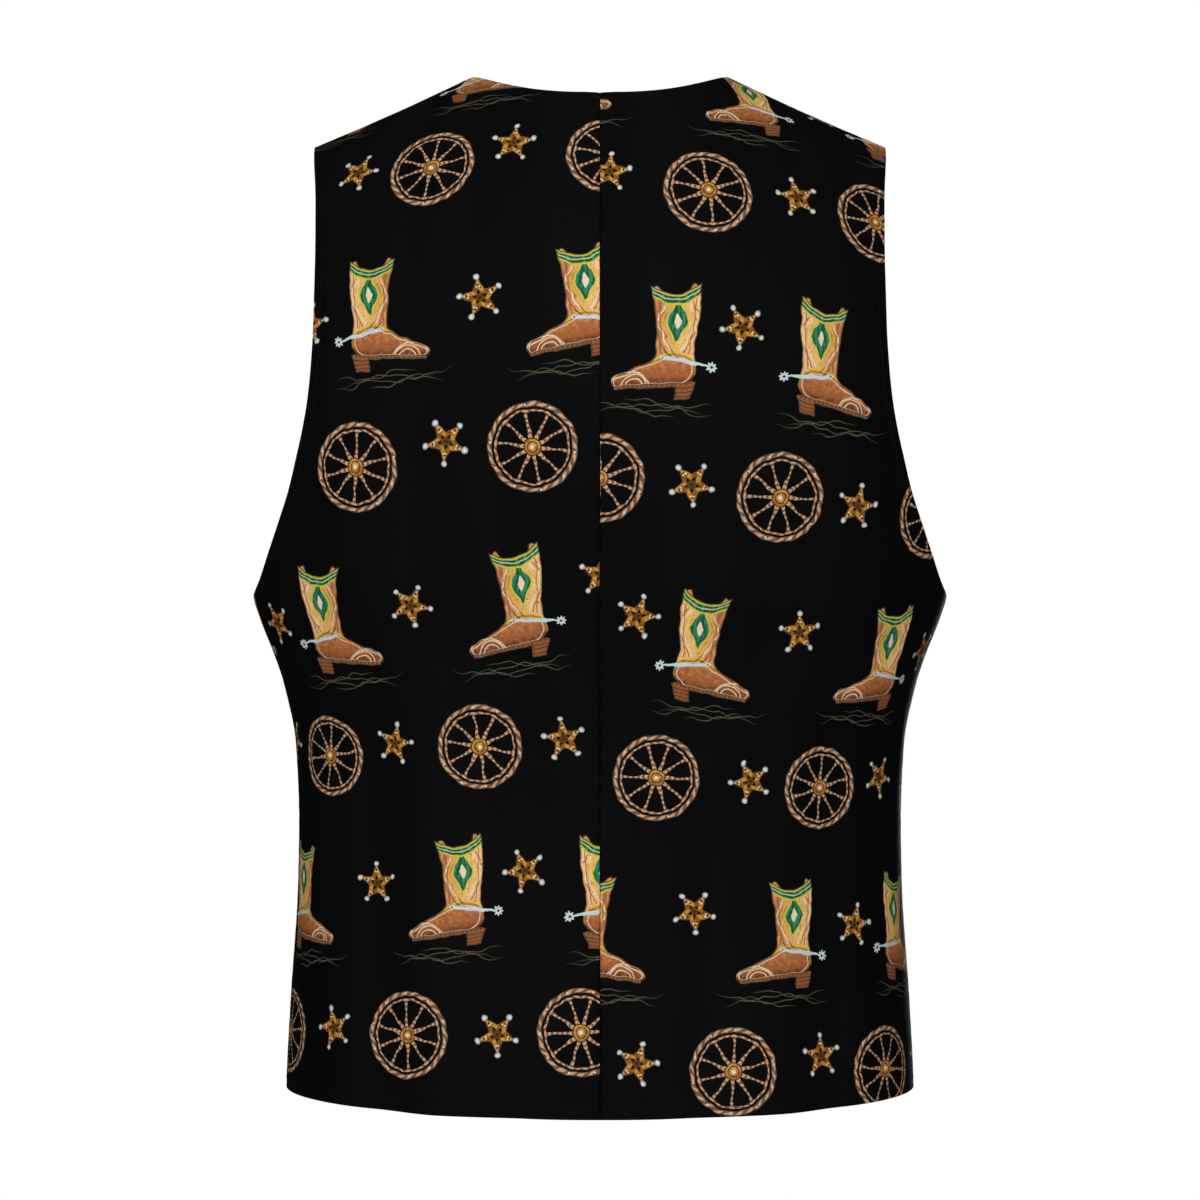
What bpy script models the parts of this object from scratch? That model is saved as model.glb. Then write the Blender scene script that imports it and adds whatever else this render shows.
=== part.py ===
"""A western vest, filled out as if worn, with nobody in it.

Metres, +Z up. The front faces -Y and the wearer's left is +X. The origin lies on the centre
plane, midway between the shoulders, at the height where the vest bears on them.

The outer surface is one general figure, read from SECTIONS, whose depth shrinks to nothing on
the shoulder line. Each panel is a loft over that surface between its own cut edges, given a
wall by Solidify.
"""

import math
from collections import namedtuple

import bpy
from mathutils import Vector

# Cloth and seams
CLOTH = 0.0020  # wall of the made-up cloth
SEAM_GAP = 0.0004  # between two panels along a seam
LAP_GAP = 0.0006  # between the two fronts where one lies on the other

# Heights and half widths of the cut's corners
NECK_X, NECK_Z = 0.0810, 0.0250  # where the shoulder seam meets the neckline
TIP_X, TIP_Z = 0.1775, -0.0175  # where the shoulder seam meets the armhole
SHOULDER_HOLLOW = 0.0010  # how far the shoulder seam dips below a straight line
NECK_RISE = 0.0200  # the figure goes on rising this far inside the neckline
BACK_NECK_Z = 0.0055  # neckline at the centre back
BACK_NECK_POWER = 2.6  # flat at the centre, steep beside the shoulder seam
UNDERARM_Z = -0.2990
HEM_Z = -0.6060  # at the centre back
HEM_RISE = 0.0045  # the hem is higher by this at the side seams
HEM_RISE_POWER = 1.5

# The upper body starts to round over towards the shoulders at these heights
BACK_CROWN_Z = -0.2300
FRONT_CROWN_Z = -0.2800
CROWN_POWER = 2.5  # 2 rounds over like an ellipse, and more is fuller

# The front's cut
LAP_X = 0.0140  # each front runs this far past the centre line
LAP_FADE_X = 0.0500  # the upper front is back on the figure here
BREAK_Z = -0.2550  # the V neck starts here
NOTCH_Z = -0.5550  # below this the fronts are cut away
POINT_X, POINT_Z = 0.0550, -0.6360  # lowest point of each front
NECK_BOW = 0.0050  # how far the V neck bows towards the centre

# Grid of each panel. The columns beside the side seam end at the bottom of the armhole, below
# TURN_Z, and the others go on up to the shoulder.
TURN_Z = -0.2850
LOWER_ROWS, UPPER_ROWS = 12, 12
NOTCH_ROWS, LAP_ROWS = 3, 10
BACK_NECK_COLUMNS, BACK_SHOULDER_COLUMNS = 8, 10
FRONT_COLUMNS = 17
SIDE_COLUMNS = 5
ROW_EASE = 1.4  # the upper rows are closer together above the turn
RIDGE_ROW = 0.9995  # the last row but one lies this far up, so that the shoulder edge is level
SETTLING_ROUNDS = 6  # a point's height and its distance from the centre settle together
HALVINGS = 40

# Buttons
BUTTON_TOP_Z, BUTTON_PITCH, BUTTON_COUNT = -0.2670, 0.0690, 5
BUTTON_RADIUS, BUTTON_HEIGHT = 0.0075, 0.0030
BUTTON_GAP = 0.0003
BUTTON_STEPS = 20
BUTTON_MERGE = 0.00005  # joins the turned profile where it meets its own axis
SEAT_SPAN = 0.0040  # the cloth's slope is taken over this much above and below a button

Section = namedtuple("Section", "z half_width back front roundness")
SECTIONS = (
    Section(-0.6400, 0.1954, 0.1140, 0.1120, 2.30),
    Section(HEM_Z, 0.1953, 0.1120, 0.1125, 2.30),
    Section(-0.5500, 0.1928, 0.1070, 0.1130, 2.30),
    Section(-0.4750, 0.1881, 0.0990, 0.1110, 2.30),
    Section(-0.4375, 0.1875, 0.0970, 0.1095, 2.30),
    Section(-0.3900, 0.1894, 0.0990, 0.1090, 2.30),
    Section(-0.3530, 0.1966, 0.1040, 0.1110, 2.30),
    Section(-0.3340, 0.2028, 0.1070, 0.1130, 2.30),
    Section(-0.3160, 0.2100, 0.1110, 0.1150, 2.30),
    Section(UNDERARM_Z, 0.2156, 0.1150, 0.1165, 2.28),
    Section(-0.2700, 0.2205, 0.1195, 0.1185, 2.25),
    Section(-0.2350, 0.2225, 0.1245, 0.1190, 2.22),
    Section(-0.1800, 0.2200, 0.1285, 0.1175, 2.20),
    Section(-0.1000, 0.2140, 0.1300, 0.1120, 2.20),
    Section(0.0000, 0.2090, 0.1280, 0.1050, 2.20),
    Section(0.0450, 0.2080, 0.1260, 0.1020, 2.20),
)

ArmholeRow = namedtuple("ArmholeRow", "z back_x front_x")
ARMHOLE = (
    ArmholeRow(UNDERARM_Z, 0.2156, 0.2156),
    ArmholeRow(-0.2880, 0.2084, 0.2075),
    ArmholeRow(-0.2700, 0.2008, 0.1975),
    ArmholeRow(-0.2520, 0.1937, 0.1890),
    ArmholeRow(-0.2340, 0.1872, 0.1815),
    ArmholeRow(-0.2160, 0.1825, 0.1760),
    ArmholeRow(-0.1980, 0.1782, 0.1715),
    ArmholeRow(-0.1800, 0.1750, 0.1680),
    ArmholeRow(-0.1600, 0.1730, 0.1655),
    ArmholeRow(-0.1350, 0.1718, 0.1640),
    ArmholeRow(-0.1000, 0.1716, 0.1640),
    ArmholeRow(-0.0600, 0.1728, 0.1670),
    ArmholeRow(TIP_Z, TIP_X, TIP_X),
)

# Soft folds that run down the cloth. side is 1 on the back and -1 on the front. The fold goes
# from x_top at z_top to x_low at z_low, and stands out by height (a trough's is negative).
Fold = namedtuple("Fold", "side x_top z_top x_low z_low width height")
FOLDS = (
    Fold(1, 0.104, -0.300, 0.098, -0.606, 0.017, 0.0024),
    Fold(1, 0.136, -0.340, 0.130, -0.606, 0.015, -0.0020),
    Fold(1, 0.060, -0.380, 0.052, -0.606, 0.016, -0.0016),
    Fold(1, 0.175, -0.330, 0.120, -0.400, 0.014, 0.0018),
    Fold(1, -0.112, -0.310, -0.108, -0.606, 0.018, 0.0022),
    Fold(1, -0.142, -0.350, -0.139, -0.606, 0.014, -0.0018),
    Fold(1, -0.068, -0.400, -0.058, -0.606, 0.017, -0.0018),
    Fold(1, -0.178, -0.325, -0.128, -0.385, 0.013, 0.0018),
    Fold(-1, 0.120, -0.350, 0.112, -0.600, 0.018, 0.0022),
    Fold(-1, 0.150, -0.320, 0.110, -0.390, 0.015, 0.0020),
    Fold(-1, -0.126, -0.360, -0.116, -0.600, 0.018, 0.0022),
    Fold(-1, -0.155, -0.330, -0.104, -0.395, 0.015, 0.0018),
)
FOLD_FADE = 0.050  # a fold rises from nothing over this length at its upper end

BACK, FRONT = 1, -1
LEFT, RIGHT = 1, -1


def mix(first, second, share):
    return first + (second - first) * share


def ease(low, high, value):
    """0 below low, 1 above high, and a smooth step between."""
    t = min(max((value - low) / (high - low), 0.0), 1.0)
    return t * t * (3 - 2 * t)


def reading(table, column, z):
    """A column of a table at a height, along a smooth curve that never overshoots its rows."""
    heights = [row.z for row in table]
    values = [getattr(row, column) for row in table]
    z = min(max(z, heights[0]), heights[-1])
    steps = [b - a for a, b in zip(heights, heights[1:])]
    slopes = [(b - a) / step for a, b, step in zip(values, values[1:], steps)]

    def tangent(row):
        if row == 0 or row == len(slopes):
            return slopes[min(row, len(slopes) - 1)]
        below, above = slopes[row - 1], slopes[row]
        return 0.0 if below * above <= 0 else 2 * below * above / (below + above)

    row = max(k for k in range(len(steps)) if heights[k] <= z)
    t = (z - heights[row]) / steps[row]
    return (
        (1 + 2 * t) * (1 - t) ** 2 * values[row]
        + t * (1 - t) ** 2 * steps[row] * tangent(row)
        + t * t * (3 - 2 * t) * values[row + 1]
        + t * t * (t - 1) * steps[row] * tangent(row + 1)
    )


def ridge_z(x):
    """Height of the shoulder line, and of the figure inside the neck, at a distance from the centre."""
    x = abs(x)
    if x < NECK_X:
        return NECK_Z + NECK_RISE * (1 - (x / NECK_X) ** 2)
    along = (x - NECK_X) / (TIP_X - NECK_X)
    return mix(NECK_Z, TIP_Z, along) - SHOULDER_HOLLOW * math.sin(math.pi * along)


def back_top_z(x):
    """Height of the back's upper edge: the neckline, then the shoulder seam."""
    if abs(x) >= NECK_X:
        return ridge_z(x)
    return mix(BACK_NECK_Z, NECK_Z, (abs(x) / NECK_X) ** BACK_NECK_POWER)


def section_x(angle, z):
    """Distance from the centre at an angle round the section: 90 degrees is the centre line, 0 the side."""
    power = 2 / reading(SECTIONS, "roundness", z)
    cosine = math.cos(angle)
    return math.copysign(reading(SECTIONS, "half_width", z) * abs(cosine) ** power, cosine)


def angle_at(x, z):
    """The angle round the section at which it is this far from the centre."""
    share = min(abs(x) / reading(SECTIONS, "half_width", z), 1.0)
    return math.acos(math.copysign(share ** (reading(SECTIONS, "roundness", z) / 2), x))


def crown(x, z, start):
    """The share of the depth that is left at a height: all of it at start, none on the shoulder line."""
    climbed = min(max((z - start) / (ridge_z(x) - start), 0.0), 1.0)
    return math.sqrt(1 - climbed**CROWN_POWER)


def fold_height(side, x, z):
    """How far the folds lift the cloth off the figure. x is to the wearer's left."""
    total = 0.0
    for fold in FOLDS:
        if fold.side != side:
            continue
        down = (fold.z_top - z) / (fold.z_top - fold.z_low)
        off_line = (x - mix(fold.x_top, fold.x_low, min(max(down, 0.0), 1.0))) / fold.width
        window = ease(0, FOLD_FADE, fold.z_top - z)
        if fold.z_low > HEM_Z + FOLD_FADE:
            window *= ease(0, FOLD_FADE, z - fold.z_low)
        total += fold.height * window * math.exp(-off_line * off_line)
    return total


def surface_point(side, hand, angle, z, lift=0.0):
    """A point of the figure's outer surface on one hand, moved out by the folds and by lift."""
    x = section_x(angle, z)
    half_width = reading(SECTIONS, "half_width", z)
    depth = reading(SECTIONS, "back" if side == BACK else "front", z)
    power = 2 / reading(SECTIONS, "roundness", z)
    start = BACK_CROWN_Z if side == BACK else FRONT_CROWN_Z
    y = depth * max(math.sin(angle), 0.0) ** power * crown(x, z, start)
    out = Vector((x / half_width**2, y / depth**2, 0.0)).normalized()
    moved = Vector((x, y, z)) + out * (fold_height(side, hand * x, z) + lift)
    return Vector((hand * moved.x, side * (moved.y + SEAM_GAP / 2), moved.z))


def lap_lift(x):
    """How far the upper front stands off the figure, to lie on the one below it."""
    return (CLOTH + LAP_GAP) * (1 - ease(LAP_X + 2 * CLOTH, LAP_FADE_X, x))


def no_lift(_x):
    return 0.0


def eased_rows(count):
    """Shares of a height that are close together at both ends, with a last row beside the top edge."""
    rows = [math.sin(math.pi / 2 * (k / count) ** ROW_EASE) for k in range(1, count)]
    return rows + [RIDGE_ROW, 1.0]


def armhole_angle(column, z):
    return angle_at(reading(ARMHOLE, column, z), z)


def hem_z(angle):
    """Height of the back's hem, which the front's meets at the side seam."""
    return HEM_Z + HEM_RISE * max(math.cos(angle), 0.0) ** HEM_RISE_POWER


def front_hem_z(angle):
    """Height of the front's hem, from its point to the side seam."""
    along = min(angle / angle_at(POINT_X, POINT_Z), 1.0)
    return mix(hem_z(0.0), POINT_Z, along)


# What each panel's rows lie between. A right panel is worked out as a left one, and its points
# are put on the other hand.
Cut = namedtuple("Cut", "name side hand armhole bottom_z top_z lift")
BACK_LEFT = Cut("back_left", BACK, LEFT, "back_x", hem_z, back_top_z, no_lift)
BACK_RIGHT = BACK_LEFT._replace(name="back_right", hand=RIGHT)
FRONT_LEFT = Cut("front_left", FRONT, LEFT, "front_x", front_hem_z, ridge_z, lap_lift)
FRONT_RIGHT = FRONT_LEFT._replace(name="front_right", hand=RIGHT, lift=no_lift)


def outer_edge(cut):
    """The last column that reaches the shoulder: up from the hem to the turn, then along the armhole.

    Each row's place is an angle round the section and a height, here as in the other edges.
    """
    turn_angle = armhole_angle(cut.armhole, TURN_Z)
    edge = []
    for k in range(LOWER_ROWS + 1):
        edge.append((turn_angle, mix(cut.bottom_z(turn_angle), TURN_Z, k / LOWER_ROWS)))
    for share in eased_rows(UPPER_ROWS):
        z = mix(TURN_Z, TIP_Z, share)
        edge.append((armhole_angle(cut.armhole, z), z))
    return edge


def back_inner_edge():
    """The centre back seam, each row as high between hem and neckline as at its outer end."""
    edge = []
    for angle, z in outer_edge(BACK_LEFT):
        climbed = (z - hem_z(angle)) / (back_top_z(section_x(angle, z)) - hem_z(angle))
        z = mix(HEM_Z, BACK_NECK_Z, climbed)
        edge.append((angle_at(SEAM_GAP / 2, z), z))
    return edge


def front_inner_edge():
    """The front's cutaway, its lapped edge and the V neck."""
    edge = []
    for k in range(NOTCH_ROWS):
        share = k / NOTCH_ROWS
        edge.append((mix(POINT_X, -LAP_X, share), mix(POINT_Z, NOTCH_Z, share)))
    for k in range(LAP_ROWS):
        edge.append((-LAP_X, mix(NOTCH_Z, BREAK_Z, k / LAP_ROWS)))
    neck_rows = LOWER_ROWS + UPPER_ROWS - NOTCH_ROWS - LAP_ROWS
    shares = [math.sin(math.pi / 2 * k / neck_rows) for k in range(neck_rows)]
    for share in shares + [RIDGE_ROW, 1.0]:
        bow = NECK_BOW * math.sin(math.pi * share)
        edge.append((mix(-LAP_X, NECK_X, share) - bow, mix(BREAK_Z, NECK_Z, share)))
    return [(angle_at(x, z), z) for x, z in edge]


def panel_point(cut, inner, outer, across):
    """The point of a row at a share of the way from its inner end to its outer one."""

    def climbed(angle, z):
        low = cut.bottom_z(angle)
        return (z - low) / (cut.top_z(section_x(angle, z)) - low)

    angle = mix(inner[0], outer[0], across)
    climb = mix(climbed(*inner), climbed(*outer), across)
    z = mix(inner[1], outer[1], across)
    for _ in range(SETTLING_ROUNDS):
        z = mix(cut.bottom_z(angle), cut.top_z(section_x(angle, z)), climb)
    return surface_point(cut.side, cut.hand, angle, z, cut.lift(section_x(angle, z)))


def side_points(cut, share):
    """A lower row's points beyond the turn, out to the side seam."""
    points = []
    for k in range(SIDE_COLUMNS - 1, -1, -1):
        top = mix(UNDERARM_Z, TURN_Z, (k / SIDE_COLUMNS) ** 2)
        angle = armhole_angle(cut.armhole, top)
        z = mix(cut.bottom_z(angle), top, share)
        points.append(surface_point(cut.side, cut.hand, angle, z))
    return points


def panel_rows(cut, inner_edge, columns):
    """The panel's points, row by row from the hem, each row from its inner end outwards."""
    rows = []
    for number, (inner, outer) in enumerate(zip(inner_edge, outer_edge(cut))):
        row = [panel_point(cut, inner, outer, across) for across in columns]
        if number <= LOWER_ROWS:
            row += side_points(cut, number / LOWER_ROWS)
        rows.append(row)
    return rows


def back_columns():
    """Shares across the back, with one column that ends where the shoulder seam meets the neckline."""
    inner, outer = back_inner_edge()[-1], outer_edge(BACK_LEFT)[-1]
    low, high = 0.0, 1.0
    for _ in range(HALVINGS):
        middle = (low + high) / 2
        short = panel_point(BACK_LEFT, inner, outer, middle).x < NECK_X
        low, high = (middle, high) if short else (low, middle)
    neck = [low * k / BACK_NECK_COLUMNS for k in range(BACK_NECK_COLUMNS)]
    shoulder = [mix(low, 1.0, k / BACK_SHOULDER_COLUMNS) for k in range(BACK_SHOULDER_COLUMNS + 1)]
    return neck + shoulder


def front_columns():
    return [k / FRONT_COLUMNS for k in range(FRONT_COLUMNS + 1)]


def cloth_material(name, colour, roughness):
    material = bpy.data.materials.new(name)
    material.use_nodes = True
    shader = material.node_tree.nodes["Principled BSDF"]
    shader.inputs["Base Color"].default_value = (*colour, 1.0)
    shader.inputs["Roughness"].default_value = roughness
    shader.inputs["Metallic"].default_value = 0.0
    return material


def add_panel(cut, rows, material, collection):
    """One panel: an open loft through its rows, whose faces look outwards, with a wall inside it."""
    starts = [0]
    for row in rows:
        starts.append(starts[-1] + len(row))
    faces = []
    for r in range(len(rows) - 1):
        for c in range(len(rows[r + 1]) - 1):
            low, high = starts[r] + c, starts[r + 1] + c
            face = (low, low + 1, high + 1, high)
            faces.append(face[::-1] if cut.side == cut.hand else face)
    mesh = bpy.data.meshes.new(cut.name)
    mesh.from_pydata([point for row in rows for point in row], [], faces)
    mesh.shade_smooth()
    mesh.materials.append(material)
    panel = bpy.data.objects.new(cut.name, mesh)
    collection.objects.link(panel)
    wall = panel.modifiers.new("wall", "SOLIDIFY")
    wall.thickness = CLOTH
    wall.offset = -1


def button_mesh():
    """A dished button, turned about Z, with its back at z = 0."""
    radius, height = BUTTON_RADIUS, BUTTON_HEIGHT
    profile = (
        (0.0, 0.55 * height),
        (0.62 * radius, 0.55 * height),
        (0.78 * radius, height),
        (0.90 * radius, height),
        (radius, 0.60 * height),
        (0.92 * radius, 0.15 * height),
        (0.70 * radius, 0.0),
        (0.0, 0.0),
    )
    mesh = bpy.data.meshes.new("button")
    points = [(x, 0.0, z) for x, z in profile]
    mesh.from_pydata(points, [(k, k + 1) for k in range(len(points) - 1)], [])
    return mesh


def add_button(number, mesh, material, collection):
    """A button on the left front, square to the cloth and just clear of it."""
    z = BUTTON_TOP_Z - number * BUTTON_PITCH
    centre_angle = math.pi / 2
    lift = lap_lift(0.0)
    seat = surface_point(FRONT, LEFT, centre_angle, z, lift)
    above = surface_point(FRONT, LEFT, centre_angle, z + SEAT_SPAN, lift)
    below = surface_point(FRONT, LEFT, centre_angle, z - SEAT_SPAN, lift)
    out = Vector((1, 0, 0)).cross(above - below).normalized()
    button = bpy.data.objects.new(f"button_{number + 1}", mesh)
    if not mesh.materials:
        mesh.materials.append(material)
    collection.objects.link(button)
    button.location = seat + out * BUTTON_GAP
    button.rotation_mode = "QUATERNION"
    button.rotation_quaternion = out.to_track_quat("Z", "Y")
    turn = button.modifiers.new("turn", "SCREW")
    turn.steps = turn.render_steps = BUTTON_STEPS
    turn.use_merge_vertices = True
    turn.merge_threshold = BUTTON_MERGE
    turn.use_smooth_shade = True


def main():
    for obj in list(bpy.data.objects):
        bpy.data.objects.remove(obj)
    vest = bpy.data.collections.new("western_vest")
    bpy.context.scene.collection.children.link(vest)
    cloth = cloth_material("vest_cloth", (0.012, 0.012, 0.013), 0.85)
    horn = cloth_material("button_horn", (0.020, 0.018, 0.017), 0.35)
    for cut in (BACK_LEFT, BACK_RIGHT):
        add_panel(cut, panel_rows(cut, back_inner_edge(), back_columns()), cloth, vest)
    for cut in (FRONT_LEFT, FRONT_RIGHT):
        add_panel(cut, panel_rows(cut, front_inner_edge(), front_columns()), cloth, vest)
    button = button_mesh()
    for number in range(BUTTON_COUNT):
        add_button(number, button, horn, vest)


main()
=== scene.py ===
import math

import bpy
import numpy as np
from mathutils import Matrix, Vector
from mathutils.bvhtree import BVHTree
from mathutils.geometry import barycentric_transform


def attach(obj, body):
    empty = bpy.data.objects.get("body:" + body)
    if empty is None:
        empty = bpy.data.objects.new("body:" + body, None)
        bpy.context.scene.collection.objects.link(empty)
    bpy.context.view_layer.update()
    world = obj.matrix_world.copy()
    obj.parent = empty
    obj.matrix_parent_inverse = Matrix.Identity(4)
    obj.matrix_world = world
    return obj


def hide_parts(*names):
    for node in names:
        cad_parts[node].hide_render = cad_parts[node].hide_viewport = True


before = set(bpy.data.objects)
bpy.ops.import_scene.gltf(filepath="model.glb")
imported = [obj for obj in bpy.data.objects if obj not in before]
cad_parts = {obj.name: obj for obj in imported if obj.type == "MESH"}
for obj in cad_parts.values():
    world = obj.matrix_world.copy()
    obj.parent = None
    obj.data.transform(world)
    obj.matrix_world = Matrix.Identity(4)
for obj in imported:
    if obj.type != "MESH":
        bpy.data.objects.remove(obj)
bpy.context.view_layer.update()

# A western vest, filled out as if worn, with nobody in it. Metres, front towards -Y, wearer's
# left towards +X. The photograph looks at its back.


def selectOnly(piece):
    bpy.ops.object.select_all(action="DESELECT")
    piece.select_set(True)
    bpy.context.view_layer.objects.active = piece


def applyModifier(piece, modifier):
    selectOnly(piece)
    bpy.ops.object.modifier_apply(modifier=modifier.name)


def editSelected(items, chosen):
    # into edit mode, with only these points or faces selected
    bpy.ops.object.mode_set(mode="EDIT")
    bpy.ops.mesh.select_all(action="DESELECT")
    bpy.ops.object.mode_set(mode="OBJECT")
    items.foreach_set("select", chosen)
    bpy.ops.object.mode_set(mode="EDIT")


def newPiece(name, data):
    piece = bpy.data.objects.new(name, data)
    bpy.context.scene.collection.objects.link(piece)
    return piece


def newMaterial(name):
    material = bpy.data.materials.new(name)
    material.use_nodes = True
    tree = material.node_tree
    return material, tree, tree.nodes["Principled BSDF"]


def readArray(items, key, width=1, kind=float):
    # a value or a vector of every point, corner or face
    values = np.empty(len(items) * width, kind)
    items.foreach_get(key, values)
    return values.reshape(-1, width) if width > 1 else values


def writePoints(mesh, points):
    mesh.vertices.foreach_set("co", np.ascontiguousarray(points, dtype=float).ravel())
    mesh.update()


def mix(first, second, share):
    return first + (second - first) * share


def ease(low, high, value):
    t = np.clip((value - low) / (high - low), 0.0, 1.0)
    return t * t * (3 - 2 * t)


# Camera, light and floor

studio = {
    "camera": (0.0, 1.9, -0.300),
    "lens": 91.2,
    "sensor": 36.0,
    "floorHeight": -0.90,
    "floorSize": 60.0,
    "floorColour": (0.18, 0.18, 0.18, 1.0),
    "floorRoughness": 0.9,
    "white": (1.0, 1.0, 1.0, 1.0),  # what the camera sees of the floor and the room
    "skyLight": 0.06,  # how bright the pale room is for the cloth, where the camera sees 1
    "lamps": (  # name, place, looks at, size, power
        ("keyLamp", (0.25, 3.2, 0.55), (0.0, 0.0, -0.30), 1.8, 119.0),
        ("frontLamp", (-0.7, -3.1, -0.05), (0.0, 0.0, -0.30), 1.6, 120.0),
        ("topLamp", (0.0, 0.0, 2.6), (0.0, 0.0, -0.30), 1.6, 9.0),
    ),
}


def makeCamera():
    bpy.ops.object.camera_add(location=studio["camera"], rotation=(math.pi / 2, 0, math.pi))
    camera = bpy.context.object
    camera.name = "camera"
    camera.data.lens = studio["lens"]
    camera.data.sensor_width = studio["sensor"]
    bpy.context.scene.camera = camera


def makeLamps():
    for name, place, target, size, power in studio["lamps"]:
        bpy.ops.object.light_add(type="AREA", location=place)
        lamp = bpy.context.object
        lamp.name = name
        lamp.data.size = size
        lamp.data.energy = power
        lamp.rotation_euler = (Vector(place) - Vector(target)).to_track_quat("Z", "Y").to_euler()


def cameraSees(tree, seen, lit):
    # the camera sees one shader here, and the light comes from the other
    path = tree.nodes.new("ShaderNodeLightPath")
    choice = tree.nodes.new("ShaderNodeMixShader")
    tree.links.new(path.outputs["Is Camera Ray"], choice.inputs["Fac"])
    tree.links.new(lit.outputs[0], choice.inputs[1])
    tree.links.new(seen.outputs[0], choice.inputs[2])
    return choice.outputs[0]


def makeSky():
    world = bpy.data.worlds.new("paleRoom")
    bpy.context.scene.world = world
    world.use_nodes = True
    tree = world.node_tree
    seen, lit = tree.nodes["Background"], tree.nodes.new("ShaderNodeBackground")
    for background in (seen, lit):
        background.inputs["Color"].default_value = studio["white"]
    lit.inputs["Strength"].default_value = studio["skyLight"]
    tree.links.new(cameraSees(tree, seen, lit), tree.nodes["World Output"].inputs["Surface"])


def makeFloor():
    bpy.ops.mesh.primitive_plane_add(
        size=studio["floorSize"], location=(0, 0, studio["floorHeight"])
    )
    floor = bpy.context.object
    floor.name = "floor"
    bpy.ops.object.transform_apply(location=True, rotation=False, scale=False)
    material, tree, lit = newMaterial("paleFloor")
    lit.inputs["Base Color"].default_value = studio["floorColour"]
    lit.inputs["Roughness"].default_value = studio["floorRoughness"]
    seen = tree.nodes.new("ShaderNodeEmission")
    seen.inputs["Color"].default_value = studio["white"]
    tree.links.new(cameraSees(tree, seen, lit), tree.nodes["Material Output"].inputs["Surface"])
    floor.data.materials.append(material)


bpy.context.scene.view_settings.view_transform = "Standard"
makeCamera()
makeSky()
makeLamps()
makeFloor()
print("camera, light and floor are in place")


# The form, with the same measures as the solids

backSide, frontSide = 1, -1
leftHand, rightHand = 1, -1

measures = {
    "cloth": 0.0020,
    "seamGap": 0.0004,
    "lapGap": 0.0006,
    "neckX": 0.0810,
    "neckZ": 0.0250,
    "tipX": 0.1775,
    "tipZ": -0.0175,
    "shoulderHollow": 0.0010,
    "neckRise": 0.0200,
    "backNeckZ": 0.0055,
    "backNeckPower": 2.6,
    "underarmZ": -0.2990,
    "hemZ": -0.6060,
    "hemRise": 0.0045,
    "hemRisePower": 1.5,
    "backCrownZ": -0.2300,
    "frontCrownZ": -0.2800,
    "crownPower": 2.5,
    "lapX": 0.0140,
    "lapFadeX": 0.0500,
    "breakZ": -0.2550,
    "notchZ": -0.5550,
    "pointX": 0.0550,
    "pointZ": -0.6360,
    "neckBow": 0.0050,
    "turnZ": -0.2850,
    "foldFade": 0.050,
}

figure = {  # the body that the cloth lies on, from below the hem to above the shoulders
    "z": (
        -0.6400, -0.6060, -0.5500, -0.4750, -0.4375, -0.3900, -0.3530, -0.3340,
        -0.3160, -0.2990, -0.2700, -0.2350, -0.1800, -0.1000, 0.0000, 0.0450,
    ),
    "halfWidth": (
        0.1954, 0.1953, 0.1928, 0.1881, 0.1875, 0.1894, 0.1966, 0.2028,
        0.2100, 0.2156, 0.2205, 0.2225, 0.2200, 0.2140, 0.2090, 0.2080,
    ),
    "back": (
        0.1140, 0.1120, 0.1070, 0.0990, 0.0970, 0.0990, 0.1040, 0.1070,
        0.1110, 0.1150, 0.1195, 0.1245, 0.1285, 0.1300, 0.1280, 0.1260,
    ),
    "front": (
        0.1120, 0.1125, 0.1130, 0.1110, 0.1095, 0.1090, 0.1110, 0.1130,
        0.1150, 0.1165, 0.1185, 0.1190, 0.1175, 0.1120, 0.1050, 0.1020,
    ),
    "roundness": (
        2.30, 2.30, 2.30, 2.30, 2.30, 2.30, 2.30, 2.30,
        2.30, 2.28, 2.25, 2.22, 2.20, 2.20, 2.20, 2.20,
    ),
}

armhole = {  # how far the armhole lies from the centre, from the underarm to the shoulder
    "z": (
        -0.2990, -0.2880, -0.2700, -0.2520, -0.2340, -0.2160, -0.1980,
        -0.1800, -0.1600, -0.1350, -0.1000, -0.0600, -0.0175,
    ),
    "back": (
        0.2156, 0.2084, 0.2008, 0.1937, 0.1872, 0.1825, 0.1782,
        0.1750, 0.1730, 0.1718, 0.1716, 0.1728, 0.1775,
    ),
    "front": (
        0.2156, 0.2075, 0.1975, 0.1890, 0.1815, 0.1760, 0.1715,
        0.1680, 0.1655, 0.1640, 0.1640, 0.1670, 0.1775,
    ),
}

mainFolds = {  # xTop, zTop, xLow, zLow, width, height, as on the solids
    backSide: (
        (0.104, -0.300, 0.098, -0.606, 0.017, 0.0024),
        (0.136, -0.340, 0.130, -0.606, 0.015, -0.0020),
        (0.060, -0.380, 0.052, -0.606, 0.016, -0.0016),
        (0.175, -0.330, 0.120, -0.400, 0.014, 0.0018),
        (-0.112, -0.310, -0.108, -0.606, 0.018, 0.0022),
        (-0.142, -0.350, -0.139, -0.606, 0.014, -0.0018),
        (-0.068, -0.400, -0.058, -0.606, 0.017, -0.0018),
        (-0.178, -0.325, -0.128, -0.385, 0.013, 0.0018),
    ),
    frontSide: (
        (0.120, -0.350, 0.112, -0.600, 0.018, 0.0022),
        (0.150, -0.320, 0.110, -0.390, 0.015, 0.0020),
        (-0.126, -0.360, -0.116, -0.600, 0.018, 0.0022),
        (-0.155, -0.330, -0.104, -0.395, 0.015, 0.0018),
    ),
}


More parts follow.
